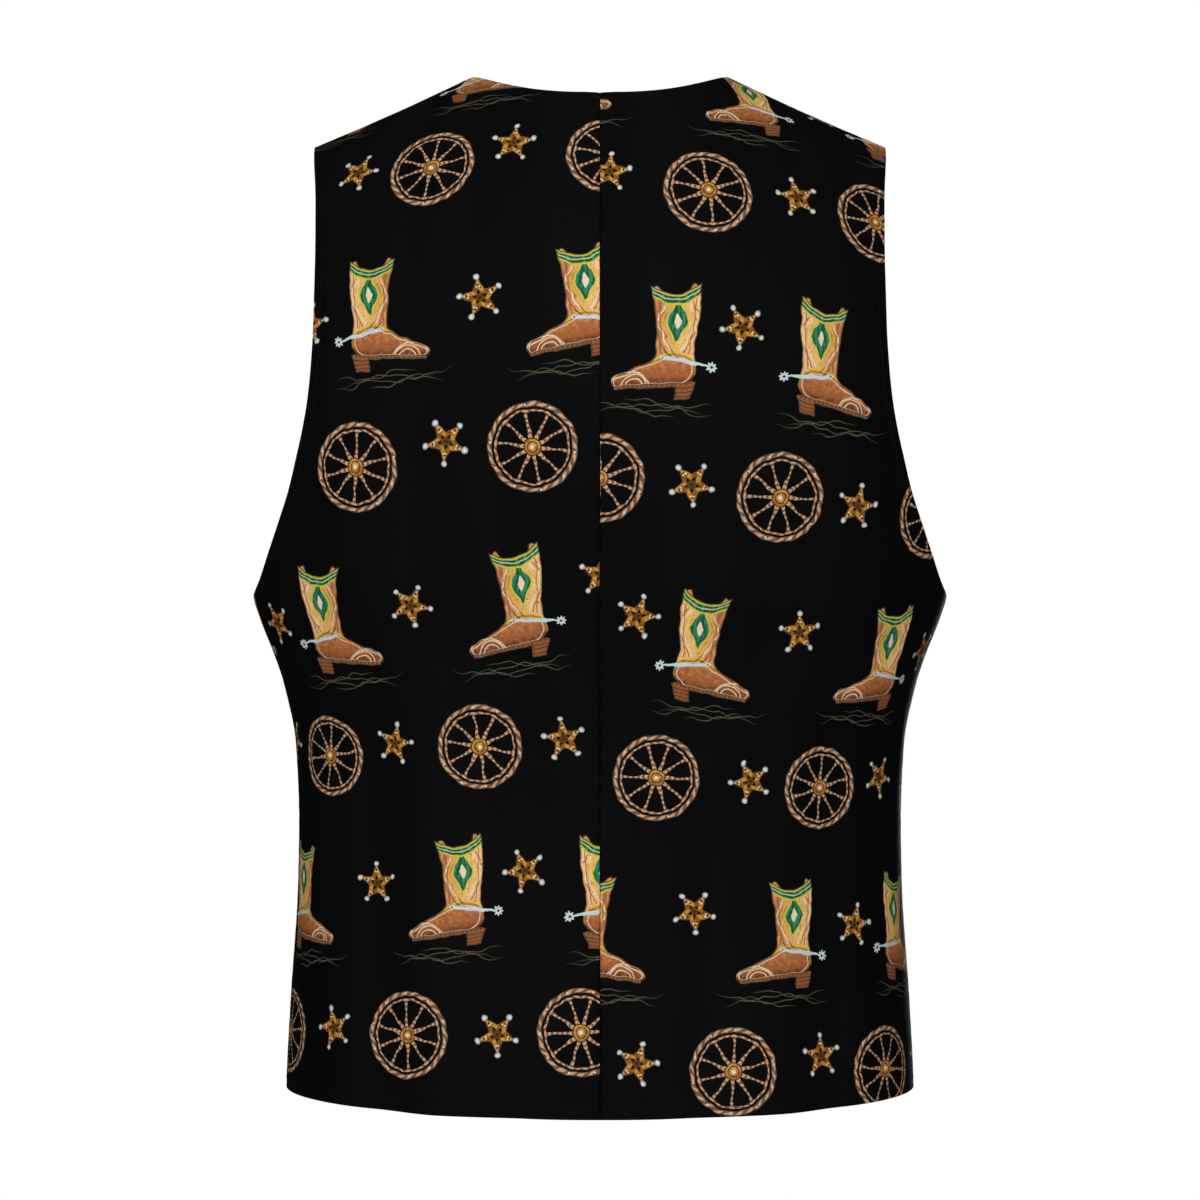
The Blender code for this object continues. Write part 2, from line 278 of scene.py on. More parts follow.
def reading(table, column, z):
    # a smooth curve through a table's rows that never overshoots them
    heights, values = np.array(table["z"]), np.array(table[column])
    steps = np.diff(heights)
    slopes = np.diff(values) / steps
    product = slopes[:-1] * slopes[1:]
    total = np.where(product > 0, slopes[:-1] + slopes[1:], 1.0)
    inner = np.where(product > 0, 2 * product / total, 0.0)
    tangents = np.concatenate((slopes[:1], inner, slopes[-1:]))
    z = np.clip(z, heights[0], heights[-1])
    row = np.clip(np.searchsorted(heights, z, side="right") - 1, 0, len(steps) - 1)
    t = (z - heights[row]) / steps[row]
    return (
        (1 + 2 * t) * (1 - t) ** 2 * values[row]
        + t * (1 - t) ** 2 * steps[row] * tangents[row]
        + t * t * (3 - 2 * t) * values[row + 1]
        + t * t * (t - 1) * steps[row] * tangents[row + 1]
    )


def ridgeZ(x):
    # height of the shoulder line, and of the figure inside the neck
    m, x = measures, np.abs(x)
    inside = m["neckZ"] + m["neckRise"] * (1 - (x / m["neckX"]) ** 2)
    along = (x - m["neckX"]) / (m["tipX"] - m["neckX"])
    shoulder = mix(m["neckZ"], m["tipZ"], along) - m["shoulderHollow"] * np.sin(np.pi * along)
    return np.where(x < m["neckX"], inside, shoulder)


def backTopZ(x):
    m, share = measures, np.minimum(np.abs(x) / measures["neckX"], 1.0)
    neck = mix(m["backNeckZ"], m["neckZ"], share ** m["backNeckPower"])
    return np.where(np.abs(x) >= m["neckX"], ridgeZ(x), neck)


def sectionX(angle, z):
    cosine = np.cos(angle)
    power = 2 / reading(figure, "roundness", z)
    return np.sign(cosine) * reading(figure, "halfWidth", z) * np.abs(cosine) ** power


def angleAt(x, z):
    share = np.minimum(np.abs(x) / reading(figure, "halfWidth", z), 1.0)
    return np.arccos(np.sign(x) * share ** (reading(figure, "roundness", z) / 2))


def armholeAngle(side, z):
    return angleAt(reading(armhole, "back" if side == backSide else "front", z), z)


def backHemZ(angle):
    m = measures
    return m["hemZ"] + m["hemRise"] * np.maximum(np.cos(angle), 0.0) ** m["hemRisePower"]


def frontHemZ(angle):
    m = measures
    along = np.minimum(angle / angleAt(m["pointX"], m["pointZ"]), 1.0)
    return mix(backHemZ(0.0), m["pointZ"], along)


def foldHeight(side, x, z):
    m, total = measures, 0.0
    for xTop, zTop, xLow, zLow, width, height in mainFolds[side]:
        down = np.clip((zTop - z) / (zTop - zLow), 0.0, 1.0)
        offLine = (x - mix(xTop, xLow, down)) / width
        window = ease(0, m["foldFade"], zTop - z)
        if zLow > m["hemZ"] + m["foldFade"]:
            window = window * ease(0, m["foldFade"], z - zLow)
        total = total + height * window * np.exp(-offLine * offLine)
    return total


def surfacePoints(side, hand, angle, z, lift=0.0):
    m, name = measures, "back" if side == backSide else "front"
    x = sectionX(angle, z)
    halfWidth, depth = reading(figure, "halfWidth", z), reading(figure, name, z)
    climbed = (z - m[name + "CrownZ"]) / (ridgeZ(x) - m[name + "CrownZ"])
    crown = np.sqrt(1 - np.clip(climbed, 0.0, 1.0) ** m["crownPower"])
    power = 2 / reading(figure, "roundness", z)
    y = depth * np.maximum(np.sin(angle), 0.0) ** power * crown
    outX, outY = x / halfWidth**2, y / depth**2
    push = (foldHeight(side, hand * x, z) + lift) / np.maximum(np.hypot(outX, outY), 1e-9)
    moved = (hand * (x + outX * push), side * (y + outY * push + m["seamGap"] / 2), z)
    return np.stack(np.broadcast_arrays(*moved), axis=-1)


def lapLift(x):
    m = measures
    return (m["cloth"] + m["lapGap"]) * (1 - ease(m["lapX"] + 2 * m["cloth"], m["lapFadeX"], x))


# Each panel's grid. Its columns run out from the centre, and those beside the side seam end at
# the bottom of the armhole; its rows run up from the hem. finer sets how many times closer they
# lie than the solids' own.
grid = {
    "finer": 8,
    "lowerRows": 12,
    "upperRows": 12,
    "notchRows": 3,
    "lapRows": 10,
    "columns": 90,
    "sideColumns": 28,
    "rowEase": 1.4,
    "beside": (0.0010, 0.0022),  # extra columns this far from an edge
    "cornerClear": 0.004,  # share of the width kept free beside the neckline's corner
    "usualWidth": 0.27,
    "usualSideWidth": 0.045,
    "settlingRounds": 6,
}


def outerEdge(side):
    # up from the hem to the turn, then along the armhole
    m, g = measures, grid
    lower, upper = g["lowerRows"] * g["finer"], g["upperRows"] * g["finer"]
    turnAngle = float(armholeAngle(side, m["turnZ"]))
    bottom = backHemZ(turnAngle) if side == backSide else frontHemZ(turnAngle)
    lowZ = mix(bottom, m["turnZ"], np.arange(lower + 1) / lower)
    share = np.sin(np.pi / 2 * (np.arange(1, upper + 1) / upper) ** g["rowEase"])
    highZ = mix(m["turnZ"], m["tipZ"], share)
    angles = np.concatenate((np.full(lower + 1, turnAngle), armholeAngle(side, highZ)))
    return angles, np.concatenate((lowZ, highZ))


def backInnerEdge():
    m = measures
    angle, z = outerEdge(backSide)
    climbed = (z - backHemZ(angle)) / (backTopZ(sectionX(angle, z)) - backHemZ(angle))
    z = mix(m["hemZ"], m["backNeckZ"], climbed)
    return angleAt(m["seamGap"] / 2, z), z


def frontInnerEdge():
    # the cutaway, the lapped edge and the V neck
    m, g = measures, grid
    notch, lap = g["notchRows"] * g["finer"], g["lapRows"] * g["finer"]
    neck = (g["lowerRows"] + g["upperRows"]) * g["finer"] - notch - lap
    share = np.arange(notch) / notch
    x, z = [mix(m["pointX"], -m["lapX"], share)], [mix(m["pointZ"], m["notchZ"], share)]
    share = np.arange(lap) / lap
    x.append(np.full(lap, -m["lapX"]))
    z.append(mix(m["notchZ"], m["breakZ"], share))
    share = np.sin(np.pi / 2 * np.arange(neck + 1) / neck)
    x.append(mix(-m["lapX"], m["neckX"], share) - m["neckBow"] * np.sin(np.pi * share))
    z.append(mix(m["breakZ"], m["neckZ"], share))
    x, z = np.concatenate(x), np.concatenate(z)
    return angleAt(x, z), z


def panelPoints(side, hand, lift):
    # the panel's points by row and column, and how many of its columns reach the shoulder
    m, g = measures, grid
    innerAngle, innerZ = backInnerEdge() if side == backSide else frontInnerEdge()
    outerAngle, outerZ = outerEdge(side)
    bottomZ = backHemZ if side == backSide else frontHemZ
    topZ = backTopZ if side == backSide else ridgeZ

    def climbed(angle, z):
        return (z - bottomZ(angle)) / (topZ(sectionX(angle, z)) - bottomZ(angle))

    across = np.arange(g["columns"] + 1) / g["columns"]
    if side == backSide:
        # one column ends where the shoulder seam meets the neckline
        topAngle = mix(innerAngle[-1], outerAngle[-1], across)
        topX = sectionX(topAngle, mix(innerZ[-1], outerZ[-1], across))
        corner = np.interp(m["neckX"], topX, across)
        clear = np.abs(across - corner) > g["cornerClear"]
        across = np.sort(np.append(across[clear], corner))
    near = [distance / g["usualWidth"] for distance in g["beside"]]
    across = np.sort(np.concatenate((across, near)))[None, :]
    angle = mix(innerAngle[:, None], outerAngle[:, None], across)
    climb = mix(climbed(innerAngle, innerZ)[:, None], climbed(outerAngle, outerZ)[:, None], across)
    z = mix(innerZ[:, None], outerZ[:, None], across)
    for _ in range(g["settlingRounds"]):
        z = mix(bottomZ(angle), topZ(sectionX(angle, z)), climb)
    x = sectionX(angle, z)
    main = surfacePoints(side, hand, angle, z, lift(x) if lift else 0.0)
    # the columns beside the side seam
    count, lower = g["sideColumns"], g["lowerRows"] * g["finer"]
    k = np.arange(count - 1, -1, -1) / count
    near = [distance / g["usualSideWidth"] for distance in g["beside"]]
    k = np.sort(np.concatenate((k, near)))[::-1]
    top = mix(m["underarmZ"], m["turnZ"], k**2)
    angle = armholeAngle(side, top)
    share = np.arange(lower + 1)[:, None] / lower
    beside = surfacePoints(side, hand, angle[None, :], mix(bottomZ(angle), top, share))
    columns = main.shape[1]
    points = np.repeat(main[:, -1:], columns + beside.shape[1], axis=1)
    points[:, :columns] = main
    points[: lower + 1, columns:] = beside
    return points, columns, lower


panels = {
    "backLeftCloth": {
        "node": "back_left", "side": backSide, "hand": leftHand, "lift": None,
        "printTurn": -3.2, "printShift": (0.0356, 0.0370),
    },
    "backRightCloth": {
        "node": "back_right", "side": backSide, "hand": rightHand, "lift": None,
        "printTurn": 3.2, "printShift": (0.0532, 0.0588),
    },
    "frontLeftCloth": {
        "node": "front_left", "side": frontSide, "hand": leftHand, "lift": lapLift,
        "printTurn": 1.5, "printShift": (0.0108, 0.0796),
    },
    "frontRightCloth": {
        "node": "front_right", "side": frontSide, "hand": rightHand, "lift": None,
        "printTurn": -1.5, "printShift": (0.0650, 0.0160),
    },
}


def makePanel(name):
    panel = panels[name]
    points, columns, lower = panelPoints(panel["side"], panel["hand"], panel["lift"])
    rows, across = points.shape[:2]
    bpy.ops.object.select_all(action="DESELECT")
    bpy.ops.mesh.primitive_grid_add(x_subdivisions=across - 1, y_subdivisions=rows - 1, size=1)
    piece = bpy.context.object
    piece.name = name
    writePoints(piece.data, points.reshape(-1, 3))
    # the block above the side seam's columns is cut out
    spare = np.zeros((rows, across), bool)
    spare[lower + 1 :, columns:] = True
    editSelected(piece.data.vertices, spare.ravel())
    bpy.ops.mesh.delete(type="VERT")
    bpy.ops.mesh.select_all(action="SELECT")
    if panel["side"] == panel["hand"]:
        bpy.ops.mesh.flip_normals()
    bpy.ops.uv.unwrap(method="ANGLE_BASED", margin=0.0)
    bpy.ops.mesh.select_all(action="DESELECT")
    bpy.ops.object.mode_set(mode="OBJECT")
    bpy.ops.object.shade_smooth()
    # where each row's and column's points went
    index = np.full((rows, across), -1)
    index[~spare] = np.arange((~spare).sum())
    panel.update(piece=piece, index=index, columns=columns, lower=lower)
    return piece


# The flat pattern: each panel's unwrapping at its real size, with the grain upright

def layFlat(panel):
    mesh, index, g = panel["piece"].data, panel["index"], grid
    corners = readArray(mesh.loops, "vertex_index", kind=int)
    unwrapped = readArray(mesh.uv_layers.active.uv, "vector", 2)
    x, y = unwrapped.reshape(-1, 4, 2).transpose(2, 0, 1)
    flatArea = 0.5 * (x * np.roll(y, -1, 1) - np.roll(x, -1, 1) * y).sum()
    area = readArray(mesh.polygons, "area").sum()
    flat = np.zeros((len(mesh.vertices), 2))
    flat[corners] = unwrapped * math.sqrt(area / abs(flatArea))
    # the grain follows the centre seam, or the straight edge of the lap
    low, high = 0, index.shape[0] - 1
    if panel["side"] == frontSide:
        low = g["notchRows"] * g["finer"]
        high = low + g["lapRows"] * g["finer"]
    run = flat[index[high, 0]] - flat[index[low, 0]]
    run /= np.hypot(*run)
    flat = (flat - flat[index[low, 0]]) @ np.array(((run[1], run[0]), (-run[0], run[1])))
    flatSize = tuple(float(v) for v in flat.max(axis=0) - flat.min(axis=0))
    outward = 1.0 if flat[:, 0].mean() > 0 else -1.0
    panel.update(corners=corners, area=area, flat=flat, flatSize=flatSize, outward=outward)


def writeMap(panel):
    # where the print lies on the cloth, in metres
    turn = math.radians(panel["printTurn"])
    turned = np.array(((math.cos(turn), -math.sin(turn)), (math.sin(turn), math.cos(turn))))
    place = panel["flat"] @ turned.T + np.array(panel["printShift"])
    layer = panel["piece"].data.uv_layers.active
    layer.name = "clothMap"
    layer.uv.foreach_set("vector", place[panel["corners"]].ravel())


def edgeLines(panel):
    # the panel's edges as rows of point numbers
    index, columns, lower = panel["index"], panel["columns"], panel["lower"]
    inner, top = index[:, 0], index[-1, :columns]
    arm = np.concatenate((index[lower, columns:][::-1], index[lower:, columns - 1]))
    lines = {"hem": index[0, :], "armhole": arm, "sideSeam": index[: lower + 1, -1]}
    if panel["side"] == backSide:
        points = readArray(panel["piece"].data.vertices, "co", 3)[top]
        corner = int(np.argmin(np.abs(np.abs(points[:, 0]) - measures["neckX"])))
        lines.update(centreSeam=inner, neck=top[: corner + 1], shoulderSeam=top[corner:])
    else:
        lines.update(frontEdge=inner, shoulderSeam=top)
    return lines


def distanceTo(panel, names):
    # how far each point of the cloth lies from these edges, along the flat pattern
    flat = panel["flat"]
    nearest = np.full(len(flat), 1.0)
    for name in names:
        line = flat[panel["lines"][name]]
        for start, end in zip(line[:-1], line[1:]):
            run = end - start
            length = max(float(run @ run), 1e-12)
            close = np.abs(flat - start).max(axis=1) < drape["reachLimit"]
            away = flat[close] - start
            share = np.clip(away @ run / length, 0.0, 1.0)
            gap = np.hypot(*(away - share[:, None] * run).T)
            nearest[close] = np.minimum(nearest[close], gap)
    return nearest


# Creases that the hand of the cloth adds to the main folds. Each runs from one place of the flat
# pattern to another, as far out from the centre and up from the hem as its first two and next two
# values say, and has a width and a height (a trough's is negative).
creases = {
    "backLeftCloth": (
        (0.020, 0.205, 0.085, 0.188, 0.009, 0.0009),
        (0.045, 0.165, 0.120, 0.172, 0.008, -0.0008),
        (0.210, 0.290, 0.150, 0.235, 0.010, 0.0011),
        (0.225, 0.255, 0.175, 0.200, 0.009, -0.0009),
        (0.030, 0.560, 0.105, 0.520, 0.012, 0.0008),
        (0.150, 0.060, 0.158, 0.004, 0.012, 0.0013),
        (0.030, 0.075, 0.026, 0.004, 0.014, 0.0010),
        (0.140, 0.410, 0.095, 0.450, 0.014, 0.0007),
    ),
    "backRightCloth": (
        (0.030, 0.190, 0.110, 0.202, 0.010, 0.0010),
        (0.015, 0.160, 0.070, 0.150, 0.008, -0.0007),
        (0.215, 0.300, 0.145, 0.252, 0.011, 0.0012),
        (0.220, 0.240, 0.180, 0.190, 0.008, -0.0008),
        (0.025, 0.550, 0.090, 0.528, 0.011, 0.0009),
        (0.170, 0.070, 0.172, 0.004, 0.013, 0.0012),
        (0.045, 0.065, 0.048, 0.004, 0.012, -0.0009),
        (0.150, 0.380, 0.110, 0.430, 0.013, 0.0008),
    ),
    "frontLeftCloth": (
        (0.035, 0.160, 0.110, 0.178, 0.010, 0.0012),
        (0.030, 0.095, 0.085, 0.105, 0.009, -0.0009),
        (0.225, 0.290, 0.160, 0.240, 0.011, 0.0013),
        (0.060, 0.330, 0.120, 0.400, 0.014, 0.0010),
        (0.175, 0.040, 0.170, -0.060, 0.013, 0.0013),
    ),
    "frontRightCloth": (
        (0.035, 0.150, 0.100, 0.140, 0.010, 0.0011),
        (0.035, 0.215, 0.095, 0.240, 0.009, -0.0008),
        (0.220, 0.285, 0.150, 0.230, 0.011, 0.0012),
        (0.065, 0.340, 0.115, 0.395, 0.013, 0.0011),
        (0.160, 0.030, 0.165, -0.060, 0.012, 0.0012),
    ),
}

drape = {
    "seamSink": 0.00045,
    "seamReach": 0.0022,
    "puckerHeight": 0.00022,
    "puckerPitch": 0.011,
    "puckerReach": 0.010,
    "puckerSlant": 0.8,
    "puckerBeat": 97.0,  # a second wave, so that no two puckers are alike
    "puckerPhase": 0.7,
    "creaseBend": 0.12,  # how far a crease bows, as a share of its length
    "creaseFade": 0.35,  # share of a crease's length over which it rises and falls
    "edgeClear": 0.012,  # the creases die away this near a seam
    "reachLimit": 0.05,  # a distance from an edge is measured up to here
}


def creaseHeight(name, panel):
    place = panel["flat"] * np.array((panel["outward"], 1.0))
    total = np.zeros(len(place))
    for outA, upA, outB, upB, width, height in creases[name]:
        start, run = np.array((outA, upA)), np.array((outB - outA, upB - upA))
        length = math.hypot(*run)
        along = (place - start) @ run / length**2
        off = ((place - start) @ np.array((-run[1], run[0]))) / length
        bent = off - drape["creaseBend"] * length * np.sin(np.clip(along, 0, 1) * np.pi)
        fade = drape["creaseFade"]
        window = ease(0, fade, along) * ease(0, fade, 1 - along)
        total += height * window * np.exp(-((bent / width) ** 2))
    return total


def shapeCloth(name, panel):
    # lays the creases, the sunk seams and their puckers on the panel
    mesh, d = panel["piece"].data, drape
    points = readArray(mesh.vertices, "co", 3)
    normals = readArray(mesh.vertex_normals, "vector", 3)
    seams = [line for line in panel["lines"] if line.endswith("Seam")]
    free = [line for line in panel["lines"] if not line.endswith("Seam")]
    seam = distanceTo(panel, seams)
    height = creaseHeight(name, panel) * ease(0, d["edgeClear"], seam)
    height -= d["seamSink"] * np.exp(-((seam / d["seamReach"]) ** 2))
    # puckers wave along the seam, the same on both of its panels
    along = points[:, 2] + np.abs(points[:, 0]) * d["puckerSlant"]
    wave = np.sin(along * 2 * np.pi / d["puckerPitch"])
    wave *= np.sin(along * d["puckerBeat"] + d["puckerPhase"])
    height += d["puckerHeight"] * wave * np.exp(-((seam / d["puckerReach"]) ** 2))
    writePoints(mesh, points + normals * height[:, None])
    for label, distance in (("seamDistance", seam), ("edgeDistance", distanceTo(panel, free))):
        store = mesh.attributes.new(label, "FLOAT", "POINT")
        store.data.foreach_set("value", distance)


def keepSurface(panel):
    # what the sewing needs to find its place: the outer surface, and its flat pattern
    mesh = panel["piece"].data
    mesh.calc_loop_triangles()
    panel["triangles"] = readArray(mesh.loop_triangles, "vertices", 3, int)
    panel["points"] = [Vector(point) for point in readArray(mesh.vertices, "co", 3)]
    panel["flatPoints"] = [Vector((u, v, 0.0)) for u, v in panel["flat"]]
    faces = panel["triangles"].tolist()
    panel["surface"] = BVHTree.FromPolygons(panel["points"], faces)
    panel["flatSurface"] = BVHTree.FromPolygons(panel["flatPoints"], faces)


def fromFlat(panel, u, v):
    # a place of the flat pattern on the made-up cloth, and the cloth's normal there
    place, _, face, _ = panel["flatSurface"].find_nearest(Vector((u, v, 0.0)))
    corners = panel["triangles"][face]
    flat = [panel["flatPoints"][c] for c in corners]
    space = [panel["points"][c] for c in corners]
    normal = (space[1] - space[0]).cross(space[2] - space[0]).normalized()
    return barycentric_transform(place, *flat, *space), normal


wallLook = {"round": 0.0006, "roundSteps": 3, "sharpAngle": 55.0}


def roundEdges(piece, width, steps, sharpAngle):
    soft = piece.modifiers.new("roundedEdge", "BEVEL")
    soft.width = width
    soft.segments = steps
    soft.limit_method = "ANGLE"
    soft.angle_limit = math.radians(sharpAngle)
    applyModifier(piece, soft)


def giveWall(piece):
    wall = piece.modifiers.new("wall", "SOLIDIFY")
    wall.thickness = measures["cloth"]
    wall.offset = -1
    wall.material_offset = 1  # the inside is the cloth's wrong side
    applyModifier(piece, wall)
    roundEdges(piece, wallLook["round"], wallLook["roundSteps"], wallLook["sharpAngle"])
    piece.data.shade_smooth()


# The print: boots, wheels and star badges, drawn from distances in millimetres

class Wire:
    # a number on its way through a node tree; the operators add Math nodes to it. Where numbers
    # are distances, below zero inside a shape, | joins two shapes and & keeps what they share.
    def __init__(self, socket):
        self.socket = socket

    def calc(self, operation, *others, clamp=False):
        entries = dict(enumerate((self, *others)))
        return Wire(addNode("Math", entries, operation=operation, use_clamp=clamp)[0])

    def __add__(self, other):
        return self.calc("ADD", other)

    def __sub__(self, other):
        return self.calc("SUBTRACT", other)

    def __rsub__(self, other):
        return -self + other

    def __mul__(self, other):
        return self.calc("MULTIPLY", other)

    def __truediv__(self, other):
        return self.calc("DIVIDE", other)

    def __neg__(self):
        return self.calc("MULTIPLY", -1.0)

    def __abs__(self):
        return self.calc("ABSOLUTE")

    def __or__(self, other):
        return self.calc("MINIMUM", other)

    def __and__(self, other):
        return self.calc("MAXIMUM", other)

    def sine(self):
        return self.calc("SINE")

    def scaled(self, factor, plus, clamp=True):
        return self.calc("MULTIPLY_ADD", factor, plus, clamp=clamp)

    def inside(self, soft=0.35):
        # 1 where a distance is below zero, 0 where it is above, soft over this many millimetres
        return self.scaled(-1 / soft, 0.5)


def socketOf(value):
    value = value.socket if isinstance(value, Wire) else value
    return value if isinstance(value, bpy.types.NodeSocket) else None


def connect(value, entry):
    if socketOf(value):
        entry.id_data.links.new(socketOf(value), entry)
    else:
        entry.default_value = value


def addNode(kind, entries, **settings):
    # a node in the tree that the first socket among its entries belongs to; gives its outputs
    tree = next(filter(None, map(socketOf, entries.values()))).id_data
    node = tree.nodes.new("ShaderNode" + kind)
    for label, value in settings.items():
        setattr(node, label, value)
    for label, value in entries.items():
        connect(value, node.inputs[label])
    return node.outputs


def vectorCalc(operation, *values, **scale):
    results = addNode("VectorMath", {**dict(enumerate(values)), **scale}, operation=operation)
    numbers = operation in ("LENGTH", "DOT_PRODUCT", "DISTANCE")
    return Wire(results["Value"]) if numbers else results["Vector"]


def splitVector(vector):
    results = addNode("SeparateXYZ", {0: vector})
    return Wire(results["X"]), Wire(results["Y"])


def joinVector(x, y):
    return addNode("CombineXYZ", {"X": x, "Y": y})["Vector"]


def turnVector(vector, angle):
    entries = {"Vector": vector, "Angle": angle}
    return addNode("VectorRotate", entries, rotation_type="Z_AXIS")["Vector"]


def addNoise(vector, scale, detail=1.0, dimensions="2D"):
    entries = {"Vector": vector, "Scale": scale, "Detail": detail}
    return addNode("TexNoise", entries, noise_dimensions=dimensions)


def noiseWire(*settings):
    return Wire(addNoise(*settings)["Fac"])


def linearColour(rgb):
    # the 0 to 255 colour of a swatch as Blender's linear one
    shares = (value / 255 for value in rgb)
    return (*(s / 12.92 if s <= 0.04045 else ((s + 0.055) / 1.055) ** 2.4 for s in shares), 1.0)


def paintOver(under, over, mask, blend="MIX"):
    entries = {"Factor": mask, "A": under, "B": over}
    for label, colour in entries.items():
        entries[label] = linearColour(colour) if isinstance(colour, tuple) else colour
    return addNode("Mix", entries, data_type="RGBA", blend_type=blend)["Result"]


def newGroup(name, entries, results):
    # entries and results give each socket's label and kind
    tree = bpy.data.node_groups.new(name, "ShaderNodeTree")
    for way, sockets in (("INPUT", entries), ("OUTPUT", results)):
        for label, kind in sockets.items():
            tree.interface.new_socket(label, in_out=way, socket_type="NodeSocket" + kind)
    source, result = tree.nodes.new("NodeGroupInput"), tree.nodes.new("NodeGroupOutput")
    return tree, source.outputs, result.inputs


def useGroup(group, **entries):
    return addNode("Group", entries, node_tree=group)


def taper(place, start, end, startRadius, endRadius):
    # distance to a round-ended bar whose ends have their own radii
    run = (end[0] - start[0], end[1] - start[1])
    length = run[0] ** 2 + run[1] ** 2
    fromStart = vectorCalc("SUBTRACT", place, (*start, 0.0))
    along = vectorCalc("DOT_PRODUCT", fromStart, (run[0] / length, run[1] / length, 0.0))
    along = along.calc("ADD", 0.0, clamp=True)
    nearest = vectorCalc("SCALE", (*run, 0.0), Scale=along)
    away = vectorCalc("DISTANCE", fromStart, nearest)
    return away - (along * (endRadius - startRadius) + startRadius)


def disc(place, centre, radius):
    return vectorCalc("DISTANCE", place, (*centre, 0.0)) - radius


class Motif:
    # a node group that draws one motif in layers of colour, each under its own mask
    def __init__(self, name, look, ground):
        entries = {"Place": "Vector", "Grain": "Float"}
        self.tree, source, self.result = newGroup(name, entries, {"Color": "Color", "Mask": "Float"})
        self.place, self.grain = source["Place"], Wire(source["Grain"])
        self.look = look
        self.colour = look[ground]

    def blend(self, first, second, share):
        return paintOver(self.look[first], self.look[second], share)

    def fill(self, paint, mask):
        over = self.look[paint] if isinstance(paint, str) else paint
        self.colour = paintOver(self.colour, over, mask)

    def line(self, paint, distance, half, where=None):
        # a line of this half width where the distance is nought
        mask = (abs(distance) - half).inside()
        self.fill(paint, mask if where is None else mask * where)

    def finish(self, mask):
        connect(self.colour, self.result["Color"])
        connect(mask, self.result["Mask"])
        return self.tree


bootMotif = {
    "tilt": 7,
    "shaft": (220, 158, 100),
    "light": (244, 198, 142),
    "shade": (150, 92, 58),
    "foot": (158, 94, 54),
    "footLight": (192, 122, 74),
    "footDark": (96, 54, 32),
    "green": (22, 92, 66),
    "greenLight": (58, 132, 96),
    "yellow": (208, 192, 46),
    "cream": (232, 214, 182),
    "dark": (52, 32, 22),
    "sole": (112, 70, 44),
    "steel": (196, 212, 214),
    "strokes": (122, 119, 96),
    "footBar": ((-9.8, -17.2), (23.5, -23.4), 9.4, 3.6),  # two ends and their radii
    "earBar": ((9.2, 24.0), (10.6, 27.6), 2.1, 1.7),
    "soleBar": ((-17.6, -26.0), (24.5, -26.4), 1.3, 1.0),
    "strapBar": ((-20, -15), (-1, -10.6), 1.1, 0.9),
    "shankBar": ((-20, -14.8), (-25.4, -16.2), 0.9, 0.6),
    "legMiddle": -10.0,
    "legHalf": 11.0,
    "legFlare": 0.10,
    "legEnd": -18,
    "topHeight": 23.5,
    "topScallop": 0.030,
    "toeFlat": -25.8,
    "ankleBlend": 8.0,
    "heelMiddle": -29.8,
    "heelHalf": 4.4,
    "kiteHeight": 8.5,
    "kiteSlopes": (1.35, 0.72),
    # lines of sewing: place, colour, half width
    "rings": ((18.6, "foot", 0.34), (15.6, "cream", 0.36), (12.4, "yellow", 0.34)),
    "collar": ((5.6, "yellow", 0.48), (3.2, "cream", 0.24), (0.9, "yellow", 0.55)),
    "inlay": (9.4, 8.1, 3.0),  # its rim, its green field and its middle
    # centres and radii
    "toeArcs": (((14.5, -27), 5.2), ((14.5, -27), 7.4), ((17.0, -30), 12.0)),
    "ankleFolds": (((-19.5, 1.5), 15.5), ((-18.5, 3.0), 18.5)),
    "ankle": ((-5.0, -10.5), 4.5),
    "heelSteps": (-32.4, -30.2, -28.0),
    "rowelCentre": (-28.2, -17.0, 0.0),
    "rowelRadius": 2.6,
    "rowelHole": 0.8,
    "teeth": 8,
    "toothHeight": 0.55,
    "strapRivet": ((-1.6, -10.8), 0.5),
    "groundLines": (  # height, waves a millimetre, phase, centre and half length
        (-35.6, 0.17, 0.4, -8, 25),
        (-37.6, 0.14, 2.2, 4, 33),
        (-39.4, 0.21, 4.1, -4, 30),
        (-41.2, 0.16, 5.5, 9, 22),
    ),
}


